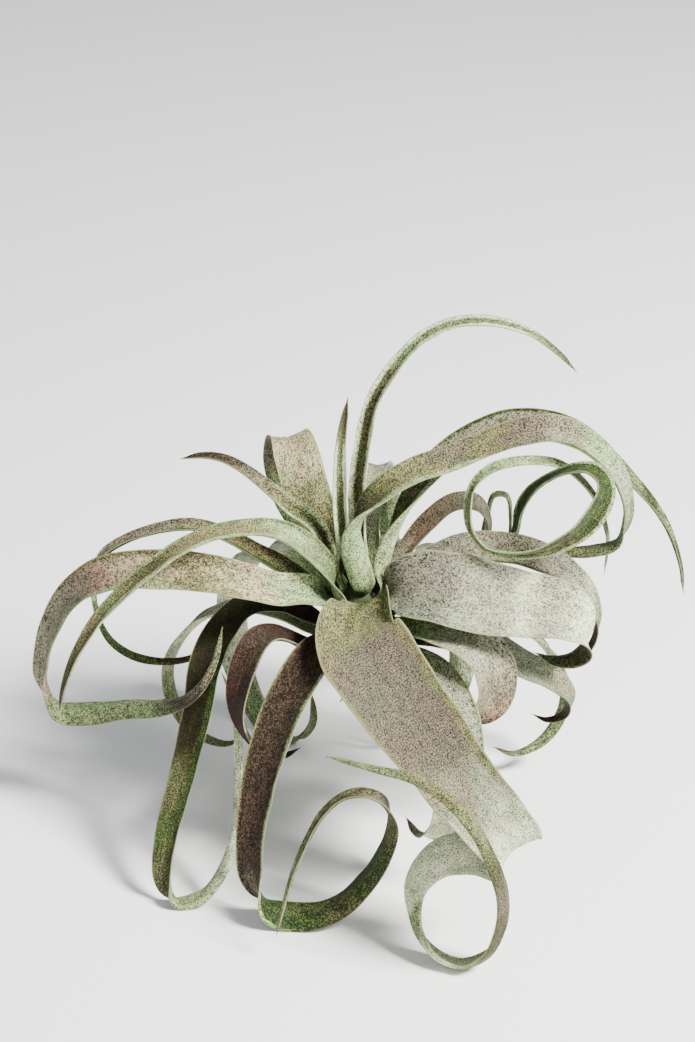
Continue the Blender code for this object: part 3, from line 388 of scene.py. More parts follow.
        ((19.5, -61.5, -44.5), 10, 60, (-0.1, -0.5, -0.85)),
        ((13.5, -62.5, -53), 8.5, 65, (0.45, -0.8, -0.3)),
        ((14.5, -66, -62), 8, 70, (0.3, -0.9, 0.1)),
        ((20, -69, -69.1), 8, 70, (0.1, -0.9, 0.35)),
        ((26.5, -71, -70.7), 8, 70, (0, -0.9, 0.4)),
        ((33, -72.5, -66.5), 7.5, 70, (-0.3, -0.9, 0.3)),
        ((36.8, -73.5, -56.5), 7, 70, (-0.5, -0.85, 0.1)),
        ((36.8, -75, -46), 6, 75, (-0.5, -0.85, 0)),
        ((34, -76, -35), 5.2, 80, (-0.5, -0.8, -0.2)),
        ((29.5, -74, -26), 4.6, 80, (-0.4, -0.8, -0.4)),
        ((22.8, -69.5, -20), 4, 80, (-0.2, -0.8, -0.6)),
        ((14, -64.5, -17), 3.2, 80, (0, -0.8, -0.6)),
        ((4.3, -61, -16.5), 2, 80, (0, -0.8, -0.6)),
        ((-8, -56, -16), 0.8, 60, (0, -0.8, -0.6)),
    ]),
    "leaf_left_front_dark": ("leaf_tan", 214, -17, [
        ((-13, -9.5, -12.5), 7, 80, (-0.3, 0.9, 0.2)),
        ((-21, -13.5, -6.5), 9, 70, (-0.6, 0.7, 0.2)),
        ((-26.5, -20.5, -4.5), 9, 65, (-0.8, 0.5, 0.1)),
        ((-30, -25.5, -11), 8.5, 65, (-0.8, 0.6, 0)),
        ((-31, -28, -19.5), 7.5, 70, (-0.7, 0.7, 0)),
        ((-29, -28, -28), 6, 75, (-0.6, 0.8, 0)),
        ((-25, -25.5, -35), 4.5, 80, (-0.6, 0.8, 0)),
        ((-20, -21.5, -39), 2.6, 80, (-0.6, 0.8, 0)),
        ((-15, -17.5, -39), 0.8, 60, (-0.6, 0.8, 0)),
    ]),
    "leaf_front_loop": ("leaf_silver", 246, -12, [
        ((-7.5, -13.5, -8.5), 9, 80, (-0.8, 0.5, 0)),
        ((-9.5, -17, -8.5), 11.5, 70, (-0.8, 0.5, 0)),
        ((-13, -22, -11), 13, 60, (-0.8, 0.5, 0)),
        ((-18, -28.5, -17.5), 13, 55, (-0.8, 0.5, 0)),
        ((-22.5, -35, -27), 12, 55, (-0.8, 0.5, 0)),
        ((-26, -40, -39), 10.5, 60, (-0.8, 0.5, 0)),
        ((-27.5, -44.5, -50), 9.5, 65, (-0.75, 0.6, 0)),
        ((-27, -49, -60), 9.5, 65, (-0.6, 0.7, 0.2)),
        ((-22.5, -52, -66.8), 9.5, 60, (-0.3, 0.85, 0.4)),
        ((-15, -53, -68.4), 9, 60, (0, 0.85, 0.5)),
        ((-6, -53, -65.5), 8.5, 60, (-0.1, 0.85, 0.45)),
        ((1, -52.5, -58.5), 7.5, 65, (-0.3, 0.85, 0.3)),
        ((6.5, -52, -48.5), 6.5, 70, (-0.45, 0.85, 0.1)),
        ((8.5, -52, -39.5), 5.5, 75, (-0.4, 0.9, 0)),
        ((6, -53, -32), 4.8, 80, (0, 0.95, 0)),
        ((1.5, -54, -29), 4.4, 80, (0, 1, 0)),
        ((-3.5, -55.5, -29), 4, 80, (0, 1, 0)),
        ((-8.5, -57.5, -32.5), 3.6, 80, (-0.2, 0.95, 0)),
        ((-13, -60, -40), 3, 80, (-0.3, 0.95, 0)),
        ((-17, -63, -49.5), 2.2, 80, (-0.3, 0.9, 0)),
        ((-21, -67, -64.5), 0.8, 60, (-0.3, 0.9, 0)),
    ]),
    "leaf_back_curl_narrow": ("leaf_green", 62, -17, [
        ((11, 18, -10), 6, 80, (0.6, -0.7, 0)),
        ((20, 25, -9), 6, 80, (0.5, -0.8, 0)),
        ((29, 28, -9), 5, 80, (0.2, -0.9, 0)),
        ((35, 28, -3), 4.4, 80, (0.1, -0.9, 0)),
        ((36.5, 28, 6), 3.8, 80, (0.1, -0.95, 0)),
        ((38.3, 28, 14), 3.2, 80, (0, -0.95, -0.1)),
        ((41.5, 28, 14), 2.8, 80, (-0.1, -0.95, -0.1)),
        ((43, 28, 6), 2.2, 80, (-0.1, -0.95, 0)),
        ((42.5, 28, -3), 0.8, 60, (-0.1, -0.95, 0)),
    ]),
    "leaf_back_left_rest": ("leaf_silver", 130, -12, [
        ((-12, 14, -6), 10, 80, (0.75, 0.6, 0)),
        ((-19, 24, -3), 13, 70, (0.75, 0.6, 0)),
        ((-27, 35, -8), 14, 65, (0.8, 0.55, 0)),
        ((-33, 44, -20), 13, 65, (0.8, 0.5, 0)),
        ((-36, 49, -35), 12, 65, (0.8, 0.5, 0)),
        ((-36, 50, -50), 10.5, 65, (0.8, 0.5, 0)),
        ((-32, 47, -62), 9, 65, (0.8, 0.5, 0)),
        ((-26, 40, -70.2), 7.5, 65, (0.8, 0.5, 0)),
        ((-18, 31, -68.4), 5.5, 70, (0.75, 0.6, 0)),
        ((-13, 25, -58), 3.5, 70, (0.75, 0.6, 0)),
        ((-13, 25, -48), 0.8, 60, (0.75, 0.6, 0)),
    ]),
    "leaf_back_right_rest": ("leaf_silver", 80, -12, [
        ((5, 17, -6), 10, 80, (0.95, -0.3, 0)),
        ((11, 28, -3), 13, 70, (0.95, -0.3, 0)),
        ((18, 40, -9), 14, 65, (0.95, -0.35, 0)),
        ((25, 50, -21), 13, 65, (0.9, -0.4, 0)),
        ((30, 55, -36), 12, 65, (0.9, -0.4, 0)),
        ((32, 55.5, -51), 10.5, 65, (0.9, -0.4, 0)),
        ((30, 51, -63), 9, 65, (0.9, -0.4, 0)),
        ((25, 43, -70.4), 7.5, 65, (0.9, -0.4, 0)),
        ((18.5, 33, -68), 5.5, 70, (0.9, -0.4, 0)),
        ((14.5, 26, -58), 3.5, 70, (0.9, -0.4, 0)),
        ((14, 25, -48), 0.8, 60, (0.9, -0.4, 0)),
    ]),
    "leaf_back_upright": ("leaf_green", 84, -7, [
        ((2, 12.5, 3), 8, 80, (1, 0, 0)),
        ((2, 17, 14), 10, 75, (1, 0, 0)),
        ((3, 25, 20), 10, 70, (1, -0.1, 0)),
        ((5, 35, 20), 9.5, 70, (1, -0.1, 0)),
        ((7, 44, 13), 8.5, 75, (1, -0.2, 0)),
        ((9, 49, 2), 7.5, 80, (1, -0.2, 0)),
        ((9.5, 48, -9), 6, 80, (1, -0.2, 0)),
        ((8, 41, -15), 4, 80, (1, -0.2, 0)),
        ((6, 34, -14), 0.8, 60, (1, -0.2, 0)),
    ]),
    "leaf_back_left_low": ("leaf_tan", 162, -19, [
        ((-14, 9, -17), 7, 80, (0.3, 0.9, 0)),
        ((-24, 14, -15), 9, 70, (0.4, 0.9, 0)),
        ((-36, 20, -18), 9.5, 70, (0.4, 0.9, 0)),
        ((-47, 25, -27), 9, 70, (0.4, 0.9, 0)),
        ((-53, 27, -39), 8, 75, (0.4, 0.9, 0)),
        ((-53, 26, -51), 6.5, 75, (0.4, 0.9, 0)),
        ((-47, 23, -60), 5, 80, (0.4, 0.9, 0)),
        ((-38, 19, -62), 3, 80, (0.4, 0.9, 0)),
        ((-31, 16, -57), 0.8, 60, (0.4, 0.9, 0)),
    ]),
    "leaf_back_right_low": ("leaf_green", 20, -19, [
        ((15, 7, -19), 7, 80, (0.3, -0.9, 0)),
        ((26, 11, -18), 9, 70, (0.3, -0.9, 0)),
        ((39, 16, -20), 9.5, 70, (0.3, -0.9, 0)),
        ((51, 20, -28), 9, 70, (0.3, -0.9, 0)),
        ((58, 22, -40), 8, 75, (0.3, -0.9, 0)),
        ((59, 22, -52), 6.5, 75, (0.3, -0.9, 0)),
        ((54, 20, -61), 5, 80, (0.3, -0.9, 0)),
        ((46, 17, -64), 3, 80, (0.3, -0.9, 0)),
        ((39, 14, -60), 0.8, 60, (0.3, -0.9, 0)),
    ]),
}

# Leaf tones as seen in soft light: colour, and how much of it pale scales cover.
PALETTE = {
    "mint": (0.30, 0.35, 0.225, 0.80),
    "fresh": (0.155, 0.215, 0.085, 0.62),
    "silver": (0.145, 0.155, 0.10, 0.70),
    "cream": (0.26, 0.23, 0.125, 0.60),
    "beige": (0.100, 0.079, 0.046, 0.62),
    "grey": (0.052, 0.050, 0.031, 0.60),
    "blush": (0.20, 0.12, 0.08, 0.55),
    "straw": (0.108, 0.098, 0.029, 0.48),
    "tan": (0.062, 0.045, 0.024, 0.52),
    "sage": (0.085, 0.12, 0.040, 0.50),
    "olive": (0.050, 0.050, 0.011, 0.35),
    "green": (0.030, 0.055, 0.008, 0.25),
    "brown": (0.034, 0.0165, 0.0085, 0.26),
    "wine": (0.032, 0.0095, 0.006, 0.16),
    # shade is not a colour of the leaf but painted shade: a near-black olive for faces that lie in shade.
    "shade": (0.018, 0.016, 0.0015, 0.08),
}

# The tones of each leaf's upper face and of its under face, evenly spread from foot to tip.
TONES = {
    "leaf_tall_arch": (
        "green olive olive olive sage sage sage olive",
        "fresh mint mint mint fresh sage olive",
    ),
    "leaf_centre_spear": ("green olive sage brown", "fresh fresh mint sage brown"),
    "leaf_broad_back": (
        "green olive straw cream cream beige straw sage brown",
        "sage fresh straw tan sage brown",
    ),
    "leaf_left_upper": ("green olive olive straw tan brown brown", "fresh mint fresh sage straw brown"),
    "leaf_left_front": (
        "green sage fresh straw straw olive straw straw olive brown",
        "fresh fresh fresh fresh fresh mint fresh straw",
    ),
    "leaf_left_back_curl": (
        "green olive straw straw tan tan sage green green brown brown",
        "green fresh green green straw sage sage green green brown brown",
    ),
    "leaf_left_broad": (
        "sage fresh cream straw cream blush beige beige beige mint fresh sage tan brown sage",
        "sage fresh fresh fresh cream fresh fresh mint blush sage sage sage brown tan sage",
    ),
    # Near its foot the left loop's tones run through shade: painted shade over its own olive green.
    "leaf_left_loop": (
        "wine wine shade shade shade shade olive green olive sage fresh silver mint fresh straw",
        "wine wine shade shade shade shade olive green olive sage fresh mint silver mint fresh straw",
    ),
    "leaf_right_arch": (
        "green olive olive olive straw tan straw tan beige fresh silver sage olive tan brown",
        "green fresh fresh mint fresh sage sage fresh mint sage green sage sage olive brown",
    ),
    "leaf_right_back_arch": (
        "green olive olive olive tan beige beige tan silver sage sage green sage green brown",
        "fresh fresh mint fresh sage sage green green sage sage green green green brown",
    ),
    "leaf_right_ring": (
        "green sage sage sage green green green green olive sage sage sage fresh sage sage sage green",
        "sage sage sage sage sage green green olive green sage sage sage sage sage green green green",
    ),
    "leaf_back_right_short": ("tan beige blush beige tan sage", "sage fresh fresh sage tan"),
    "leaf_right_broad": (
        "grey grey grey grey silver silver mint silver mint mint mint silver",
        "sage sage olive brown brown olive sage",
    ),
    # The grey tones near this leaf's foot are painted shade under the broad right leaf.
    "leaf_right_upper": (
        "olive grey grey beige beige grey silver sage olive",
        "green green olive green brown brown",
    ),
    "leaf_right_low": (
        "olive green sage sage silver silver beige sage brown",
        "green green olive brown brown brown",
    ),
    "leaf_right_front_low": (
        "green sage fresh silver silver beige blush brown",
        "sage sage fresh silver beige brown",
    ),
    "leaf_front_under": (
        "olive sage silver silver silver fresh silver mint sage",
        "sage sage silver silver mint silver brown",
    ),
    "leaf_front_broad": (
        "green straw tan tan tan tan beige silver mint silver silver silver "
        "sage silver mint sage sage tan olive sage straw sage straw",
        "sage silver beige tan silver silver silver silver silver silver mint mint "
        "sage mint sage olive tan olive sage straw sage sage straw",
    ),
    # This leaf's dark wine and brown are partly its own reddish-brown and partly painted shade on its
    # face.
    "leaf_left_front_dark": ("wine wine brown wine wine brown", "wine brown wine wine brown"),
    # Near its foot the front loop's upper face runs through dark wine and brown: its own mauve-brown,
    # darkened further as painted shade under the broad front leaf.
    "leaf_front_loop": (
        "wine wine brown brown brown brown brown brown tan olive "
        "sage green olive tan olive olive sage sage straw",
        "brown brown sage sage silver sage sage green green olive "
        "green green olive olive green sage sage straw",
    ),
    "leaf_back_curl_narrow": ("olive sage tan beige sage green", "sage sage fresh sage sage green"),
}
PLAIN_TONES = (
    "green sage silver silver tan silver silver sage olive",
    "sage fresh silver mint silver sage sage brown",
)

# Margins of another tone: side of the midrib, inner edge, start and end along the leaf, tone.
MARGINS = {
    "leaf_front_broad": [(-1, 0.80, 0.02, 0.33, "straw"), (1, 0.90, 0.03, 0.30, "straw")],
    "leaf_front_loop": [(-1, 0.80, 0.06, 0.5, "fresh"), (1, 0.92, 0.06, 0.5, "straw")],
    "leaf_left_broad": [(1, 0.72, 0.20, 0.48, "straw"), (-1, 0.70, 0.28, 0.58, "fresh")],
    "leaf_right_upper": [(1, 0.80, 0.15, 0.75, "green")],
    "leaf_left_loop": [(1, 0.80, 0.30, 0.42, "wine"), (-1, 0.50, 0.22, 0.50, "green")],
    "leaf_right_arch": [(1, 0.60, 0.08, 0.45, "fresh"), (1, 0.72, 0.55, 0.80, "green")],
    "leaf_right_back_arch": [(1, 0.45, 0.03, 0.30, "fresh"), (-1, 0.8, 0.3, 0.6, "green")],
    "leaf_left_front": [(-1, 0.35, 0.10, 0.75, "fresh"), (1, 0.75, 0.1, 0.75, "sage")],
    "leaf_left_upper": [(-1, 0.6, 0.05, 0.6, "fresh"), (1, 0.6, 0.05, 0.6, "fresh")],
    "leaf_tall_arch": [(-1, 0.55, 0.05, 0.9, "mint"), (1, 0.55, 0.05, 0.9, "mint")],
    "leaf_centre_spear": [(-1, 0.5, 0.1, 0.8, "mint"), (1, 0.5, 0.1, 0.8, "mint")],
    "leaf_left_back_curl": [(-1, 0.5, 0.10, 0.6, "green"), (1, 0.8, 0.5, 0.9, "mint")],
    "leaf_right_ring": [(-1, 0.75, 0.2, 0.95, "fresh"), (1, 0.85, 0.2, 0.95, "fresh")],
    "leaf_right_front_low": [(1, 0.88, 0.3, 0.9, "blush")],
    "leaf_front_under": [(-1, 0.92, 0.2, 0.8, "sage")],
    "leaf_right_low": [(1, 0.7, 0.2, 0.6, "sage")],
    "leaf_left_front_dark": [(-1, 0.85, 0.2, 0.9, "beige")],
}


def crown_place():
    """The crown in the frame, from the stem's box."""
    low, high = (Vector(corner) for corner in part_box("stem"))
    return Vector(((low.x + high.x) / 2, (low.y + high.y) / 2, low.z - STEM_BOTTOM * MM))


CROWN = crown_place()


def stem_radius(height):
    """The stem's radius at a height, read along its outline."""
    for (low, low_radius), (high, high_radius) in zip(STEM_PROFILE, STEM_PROFILE[1:]):
        if low <= height <= high:
            share = (height - low) / (high - low)
            return low_radius + share * (high_radius - low_radius)
    return STEM_PROFILE[-1][1]


def base_rows(bearing, height, next_width):
    """The first two rows of a leaf, where it clasps the stem and turns outwards."""
    angle = math.radians(bearing)
    outward = Vector((math.cos(angle), math.sin(angle), 0))
    across = (math.sin(angle), -math.cos(angle), 0)
    radius = stem_radius(height) + BASE_GAP
    foot = outward * radius + Vector((0, 0, height))
    shoulder = outward * (radius + SHOULDER_REACH) + Vector((0, 0, height + SHOULDER_RISE))
    return [
        (tuple(foot), min(BASE_WIDTH, next_width), BASE_CUP, across),
        (tuple(shoulder), (BASE_WIDTH + next_width) / 2, SHOULDER_CUP, across),
    ]


def row_values(row):
    """A row as one flat list, with its direction across made one long."""
    place, width, cup, across = row
    return [*place, width, cup, *Vector(across).normalized()]


def blend_rows(left, right, start, end, knot):
    """The values at a knot on the line between two rows."""
    share = (knot - start) / (end - start)
    return [a + (b - a) * share for a, b in zip(left, right)]


def spline(rows, step):
    """Stations at an even spacing along a centripetal Catmull-Rom curve through the rows."""
    values = [row_values(row) for row in rows]
    values.insert(0, [2 * a - b for a, b in zip(values[0], values[1])])
    values.append([2 * a - b for a, b in zip(values[-1], values[-2])])
    knots = [0.0]
    for first, second in zip(values, values[1:]):
        gap = (Vector(second[:3]) - Vector(first[:3])).length
        knots.append(knots[-1] + math.sqrt(gap))
    dense = []
    for i in range(1, len(values) - 2):
        p, k = values[i - 1:i + 3], knots[i - 1:i + 3]
        for piece in range(CURVE_PIECES):
            knot = k[1] + (k[2] - k[1]) * piece / CURVE_PIECES
            a1 = blend_rows(p[0], p[1], k[0], k[1], knot)
            a2 = blend_rows(p[1], p[2], k[1], k[2], knot)
            a3 = blend_rows(p[2], p[3], k[2], k[3], knot)
            b1 = blend_rows(a1, a2, k[0], k[2], knot)
            b2 = blend_rows(a2, a3, k[1], k[3], knot)
            dense.append(blend_rows(b1, b2, k[1], k[2], knot))
    dense.append(values[-2])
    lengths = [0.0]
    for first, second in zip(dense, dense[1:]):
        lengths.append(lengths[-1] + (Vector(second[:3]) - Vector(first[:3])).length)
    count = max(LEAST_STATIONS, round(lengths[-1] / step))
    stations = []
    cursor = 0
    for number in range(count + 1):
        wanted = lengths[-1] * number / count
        while cursor < len(dense) - 2 and lengths[cursor + 1] < wanted:
            cursor += 1
        near, far = lengths[cursor], lengths[cursor + 1]
        stations.append((wanted, blend_rows(dense[cursor], dense[cursor + 1], near, far, wanted)))
    return stations


def smooth_step(value):
    """An even ease from 0 to 1, flat outside that range."""
    value = min(max(value, 0.0), 1.0)
    return value * value * (3 - 2 * value)


def tone_at(names, share):
    """The tone at a share of the length, between evenly spread named tones."""
    place = min(max(share, 0.0), FULL) * (len(names) - 1)
    first = int(place)
    part = smooth_step(place - first)
    return [a + (b - a) * part for a, b in zip(PALETTE[names[first]], PALETTE[names[first + 1]])]


class Blade:
    """Points, faces and surface values of one leaf as it is swept."""

    def __init__(self, name, seed):
        self.name = name
        self.seed = seed
        self.tones = [names.split() for names in TONES.get(name, PLAIN_TONES)]
        self.margins = MARGINS.get(name, [])
        self.points = []
        self.faces = []
        self.place = []
        self.tone = []
        self.edge = []

    def relief(self, share, along, width, calm):
        """Height of the surface over the plain channel, in millimetres."""
        ribs = RIB_HEIGHT * math.cos(share * width * 2.1 + self.seed) * (1 - share ** 4)
        keel = -KEEL_DEPTH * math.exp(-(share * width / KEEL_WIDTH) ** 2)
        sway = SWAY_HEIGHT * noise.noise(Vector((along / SWAY_LENGTH, share * 1.1, self.seed)))
        ruffle = noise.noise(Vector((along / RUFFLE_LENGTH, 3 + share, self.seed)))
        ruffle *= RUFFLE_HEIGHT * share ** 2
        grain = noise.noise(Vector((along / GRAIN_LENGTH, share * width / GRAIN_WIDTH, self.seed)))
        grain *= GRAIN_HEIGHT
        lip = LIP_HEIGHT * smooth_step((abs(share) - LIP_START) / (1 - LIP_START))
        scale = min(1.0, width / MIDDLE_LEAF)
        return (ribs + keel) * scale + (sway + ruffle) * calm * scale + grain + lip * calm * scale

    def add_section(self, along, total, station, tangent, spread):
        """One ring of points round the blade: the upper face, then the under face."""
        centre = Vector(station[:3])
        point_share = min(1.0, (total - along) / POINT_LENGTH)
        calm = smooth_step(along / CALM_LENGTH)
        taper = smooth_step(point_share) ** 0.7
        width = station[3] * (POINT_WIDTH + (1 - POINT_WIDTH) * taper)
        width *= 1 + WIDTH_SWAY * calm * noise.noise(Vector((along / WIDTH_SWAY_LENGTH, 7.0, self.seed)))
        cup = math.radians(station[4])
        across = Vector(station[5:8])
        across = (across - tangent * across.dot(tangent)).normalized()
        normal = across.cross(tangent).normalized()
        bend = width / cup
        half = min(LEAF_THICKNESS, width * 0.5) / 2
        rim = min(RIM_THICKNESS, width * 0.3) / 2
        for side in (1, -1):
            shares = spread if side == 1 else reversed(spread)
            for share in shares:
                angle = share * cup / 2
                inward = normal * math.cos(angle) - across * math.sin(angle)
                place = centre + across * (bend * math.sin(angle))
                place += normal * (bend * (1 - math.cos(angle)))
                depth = rim + (half - rim) * (1 - share ** 2)
                if abs(share) > 0.999:
                    depth *= 0.55
                lift = self.relief(share, along, width, calm)
                self.points.append(CROWN + (place + inward * (depth * side + lift)) * MM)
                self.store(along / total, along, share, width, side)

    def store(self, run, along, share, width, side):
        """Keep the leaf coordinates and the tones of one surface point."""
        self.place.append((share * width / 2 + FACE_SHIFT * side, along, self.seed * SEED_SHIFT))
        wander = WANDER * noise.noise(Vector((along / WANDER_LENGTH, share * 2, self.seed)))
        tone = tone_at(self.tones[0 if side == 1 else 1], run + wander)
        for margin_side, inner, start, end, name in self.margins:
            inside = share * margin_side - inner + MARGIN_BLUR / 2 + wander
            reach = smooth_step(inside / MARGIN_BLUR)
            reach *= smooth_step((run - start) / MARGIN_START) * smooth_step((end - run) / MARGIN_END)
            tone = [a + (b - a) * reach for a, b in zip(tone, PALETTE[name])]
        self.tone.append(tone)
        self.edge.append(abs(share))

    def close(self, rings, size):
        """Join the rings with faces, and close the foot and the tip."""
        for ring in range(rings - 1):
            start, following = ring * size, (ring + 1) * size
            for corner in range(size):
                beside = (corner + 1) % size
                near, far = start + corner, following + corner
                self.faces.append((near, start + beside, following + beside, far))
        self.faces.append(tuple(reversed(range(size))))
        last = (rings - 1) * size
        self.faces.append(tuple(range(last, last + size)))

    def to_object(self, material):
        """The blade as an object, with its leaf coordinates and tones on its points."""
        mesh = bpy.data.meshes.new(self.name + "_blade")
        mesh.from_pydata([(x, y, max(z, GROUND_GAP)) for x, y, z in self.points], [], self.faces)
        place = mesh.attributes.new("leaf_place", "FLOAT_VECTOR", "POINT")
        place.data.foreach_set("vector", [value for row in self.place for value in row])
        tone = mesh.attributes.new("leaf_tone", "FLOAT_COLOR", "POINT")
        tone.data.foreach_set("color", [value for row in self.tone for value in row])
        edge = mesh.attributes.new("leaf_edge", "FLOAT", "POINT")
        edge.data.foreach_set("value", self.edge)
        mesh.materials.append(material)
        mesh.shade_smooth()
        item = bpy.data.objects.new(self.name + "_blade", mesh)
        bpy.context.collection.objects.link(item)
        return item


def make_blade(name, seed, rows, material):
    """Sweep one leaf along its rows, with columns crowded towards its edges."""
    stations = spline(rows, STATION_STEP)
    total = stations[-1][0]
    widest = max(station[3] for _, station in stations)
    columns = 24 if widest > WIDE_LEAF else 16 if widest > MIDDLE_LEAF else 12
    even = [2 * column / columns - 1 for column in range(columns + 1)]
    spread = [
        math.sin(math.pi / 2 * value) * EDGE_CROWDING + (1 - EDGE_CROWDING) * value
        for value in even
    ]
    blade = Blade(name, seed)
    for index, (along, station) in enumerate(stations):
        before = Vector(stations[max(index - 1, 0)][1][:3])
        after = Vector(stations[min(index + 1, len(stations) - 1)][1][:3])
        blade.add_section(along, total, station, (after - before).normalized(), spread)
    blade.close(len(stations), 2 * len(spread))
    return blade.to_object(material)


class Nodes:
    """Short calls for building a material's node tree."""

    def __init__(self, name):
        self.material = bpy.data.materials.new(name)
        self.material.use_nodes = True
        self.tree = self.material.node_tree
        self.shader = self.tree.nodes["Principled BSDF"]

    def node(self, kind, inputs=None, **settings):
        made = self.tree.nodes.new(kind)
        for key, value in settings.items():
            setattr(made, key, value)
        for key, value in (inputs or {}).items():
            self.put(made.inputs[key], value)
        return made

    def put(self, socket, value):
        if isinstance(value, bpy.types.NodeSocket):
            self.tree.links.new(value, socket)
        else:
            socket.default_value = value

    def math(self, operation, first, second):
        made = self.node("ShaderNodeMath", operation=operation)
        self.put(made.inputs[0], first)
        self.put(made.inputs[1], second)
        return made.outputs[0]

    def mix(self, factor, first, second, blend="MIX"):
        made = self.node("ShaderNodeMix", data_type="RGBA", blend_type=blend)
        self.put(made.inputs[0], factor)
        self.put(made.inputs[6], first)
        self.put(made.inputs[7], second)
        return made.outputs[2]

    def band(self, value, low, high, start=0.0, end=1.0):
        made = self.node("ShaderNodeMapRange", interpolation_type="SMOOTHSTEP")
        for index, entry in enumerate((value, low, high, start, end)):
            self.put(made.inputs[index], entry)
        return made.outputs[0]

    def scaled(self, vector, factors):
        made = self.node("ShaderNodeVectorMath", operation="MULTIPLY")
        self.put(made.inputs[0], vector)
        made.inputs[1].default_value = factors
        return made.outputs[0]

    def noise(self, vector, scale, detail=3.0, roughness=0.5):
        made = self.node("ShaderNodeTexNoise", {"Scale": scale, "Detail": detail, "Roughness": roughness})
        self.put(made.inputs["Vector"], vector)
        return made.outputs["Fac"]

    def cells(self, vector, scale):
        made = self.node("ShaderNodeTexVoronoi", {"Scale": scale})
        self.put(made.inputs["Vector"], vector)
        return made

    def bump(self, height, strength, distance, below=None):
        made = self.node("ShaderNodeBump", {"Strength": strength, "Distance": distance})
        self.put(made.inputs["Height"], height)
        if below is not None:
            self.put(made.inputs["Normal"], below)
        return made.outputs["Normal"]


def colour(red, green, blue):
    return (red, green, blue, 1.0)


# Leaf colours beside the tones.
GREENER = colour(0.88, 1.06, 0.80)
BROWNER = colour(1.04, 0.94, 0.84)
DIM_FLAKE = colour(0.44, 0.43, 0.33)
BRIGHT_FLAKE = colour(0.80, 0.81, 0.72)
FLAKE_GAIN = colour(1.80, 1.80, 1.74)
BARE_GAIN = colour(0.32, 0.33, 0.25)
COVERED_GAIN = colour(0.44, 0.44, 0.39)
PORE = colour(0.022, 0.026, 0.012)
LEAF_RIM = colour(0.42, 0.44, 0.24)

# Bark and fibre colours, and the green of the stem's top, darkened as painted shade under the crown.
BARK_DARK = colour(0.07, 0.045, 0.03)
BARK_LIGHT = colour(0.26, 0.17, 0.10)
BARK_GRIT = colour(0.33, 0.25, 0.16)
PAINTED_SHADE_HEART_DARK = colour(0.015, 0.022, 0.006)
PAINTED_SHADE_HEART_LIGHT = colour(0.05, 0.07, 0.022)
FIBRE_DARK = colour(0.16, 0.10, 0.06)
FIBRE_LIGHT = colour(0.46, 0.36, 0.24)


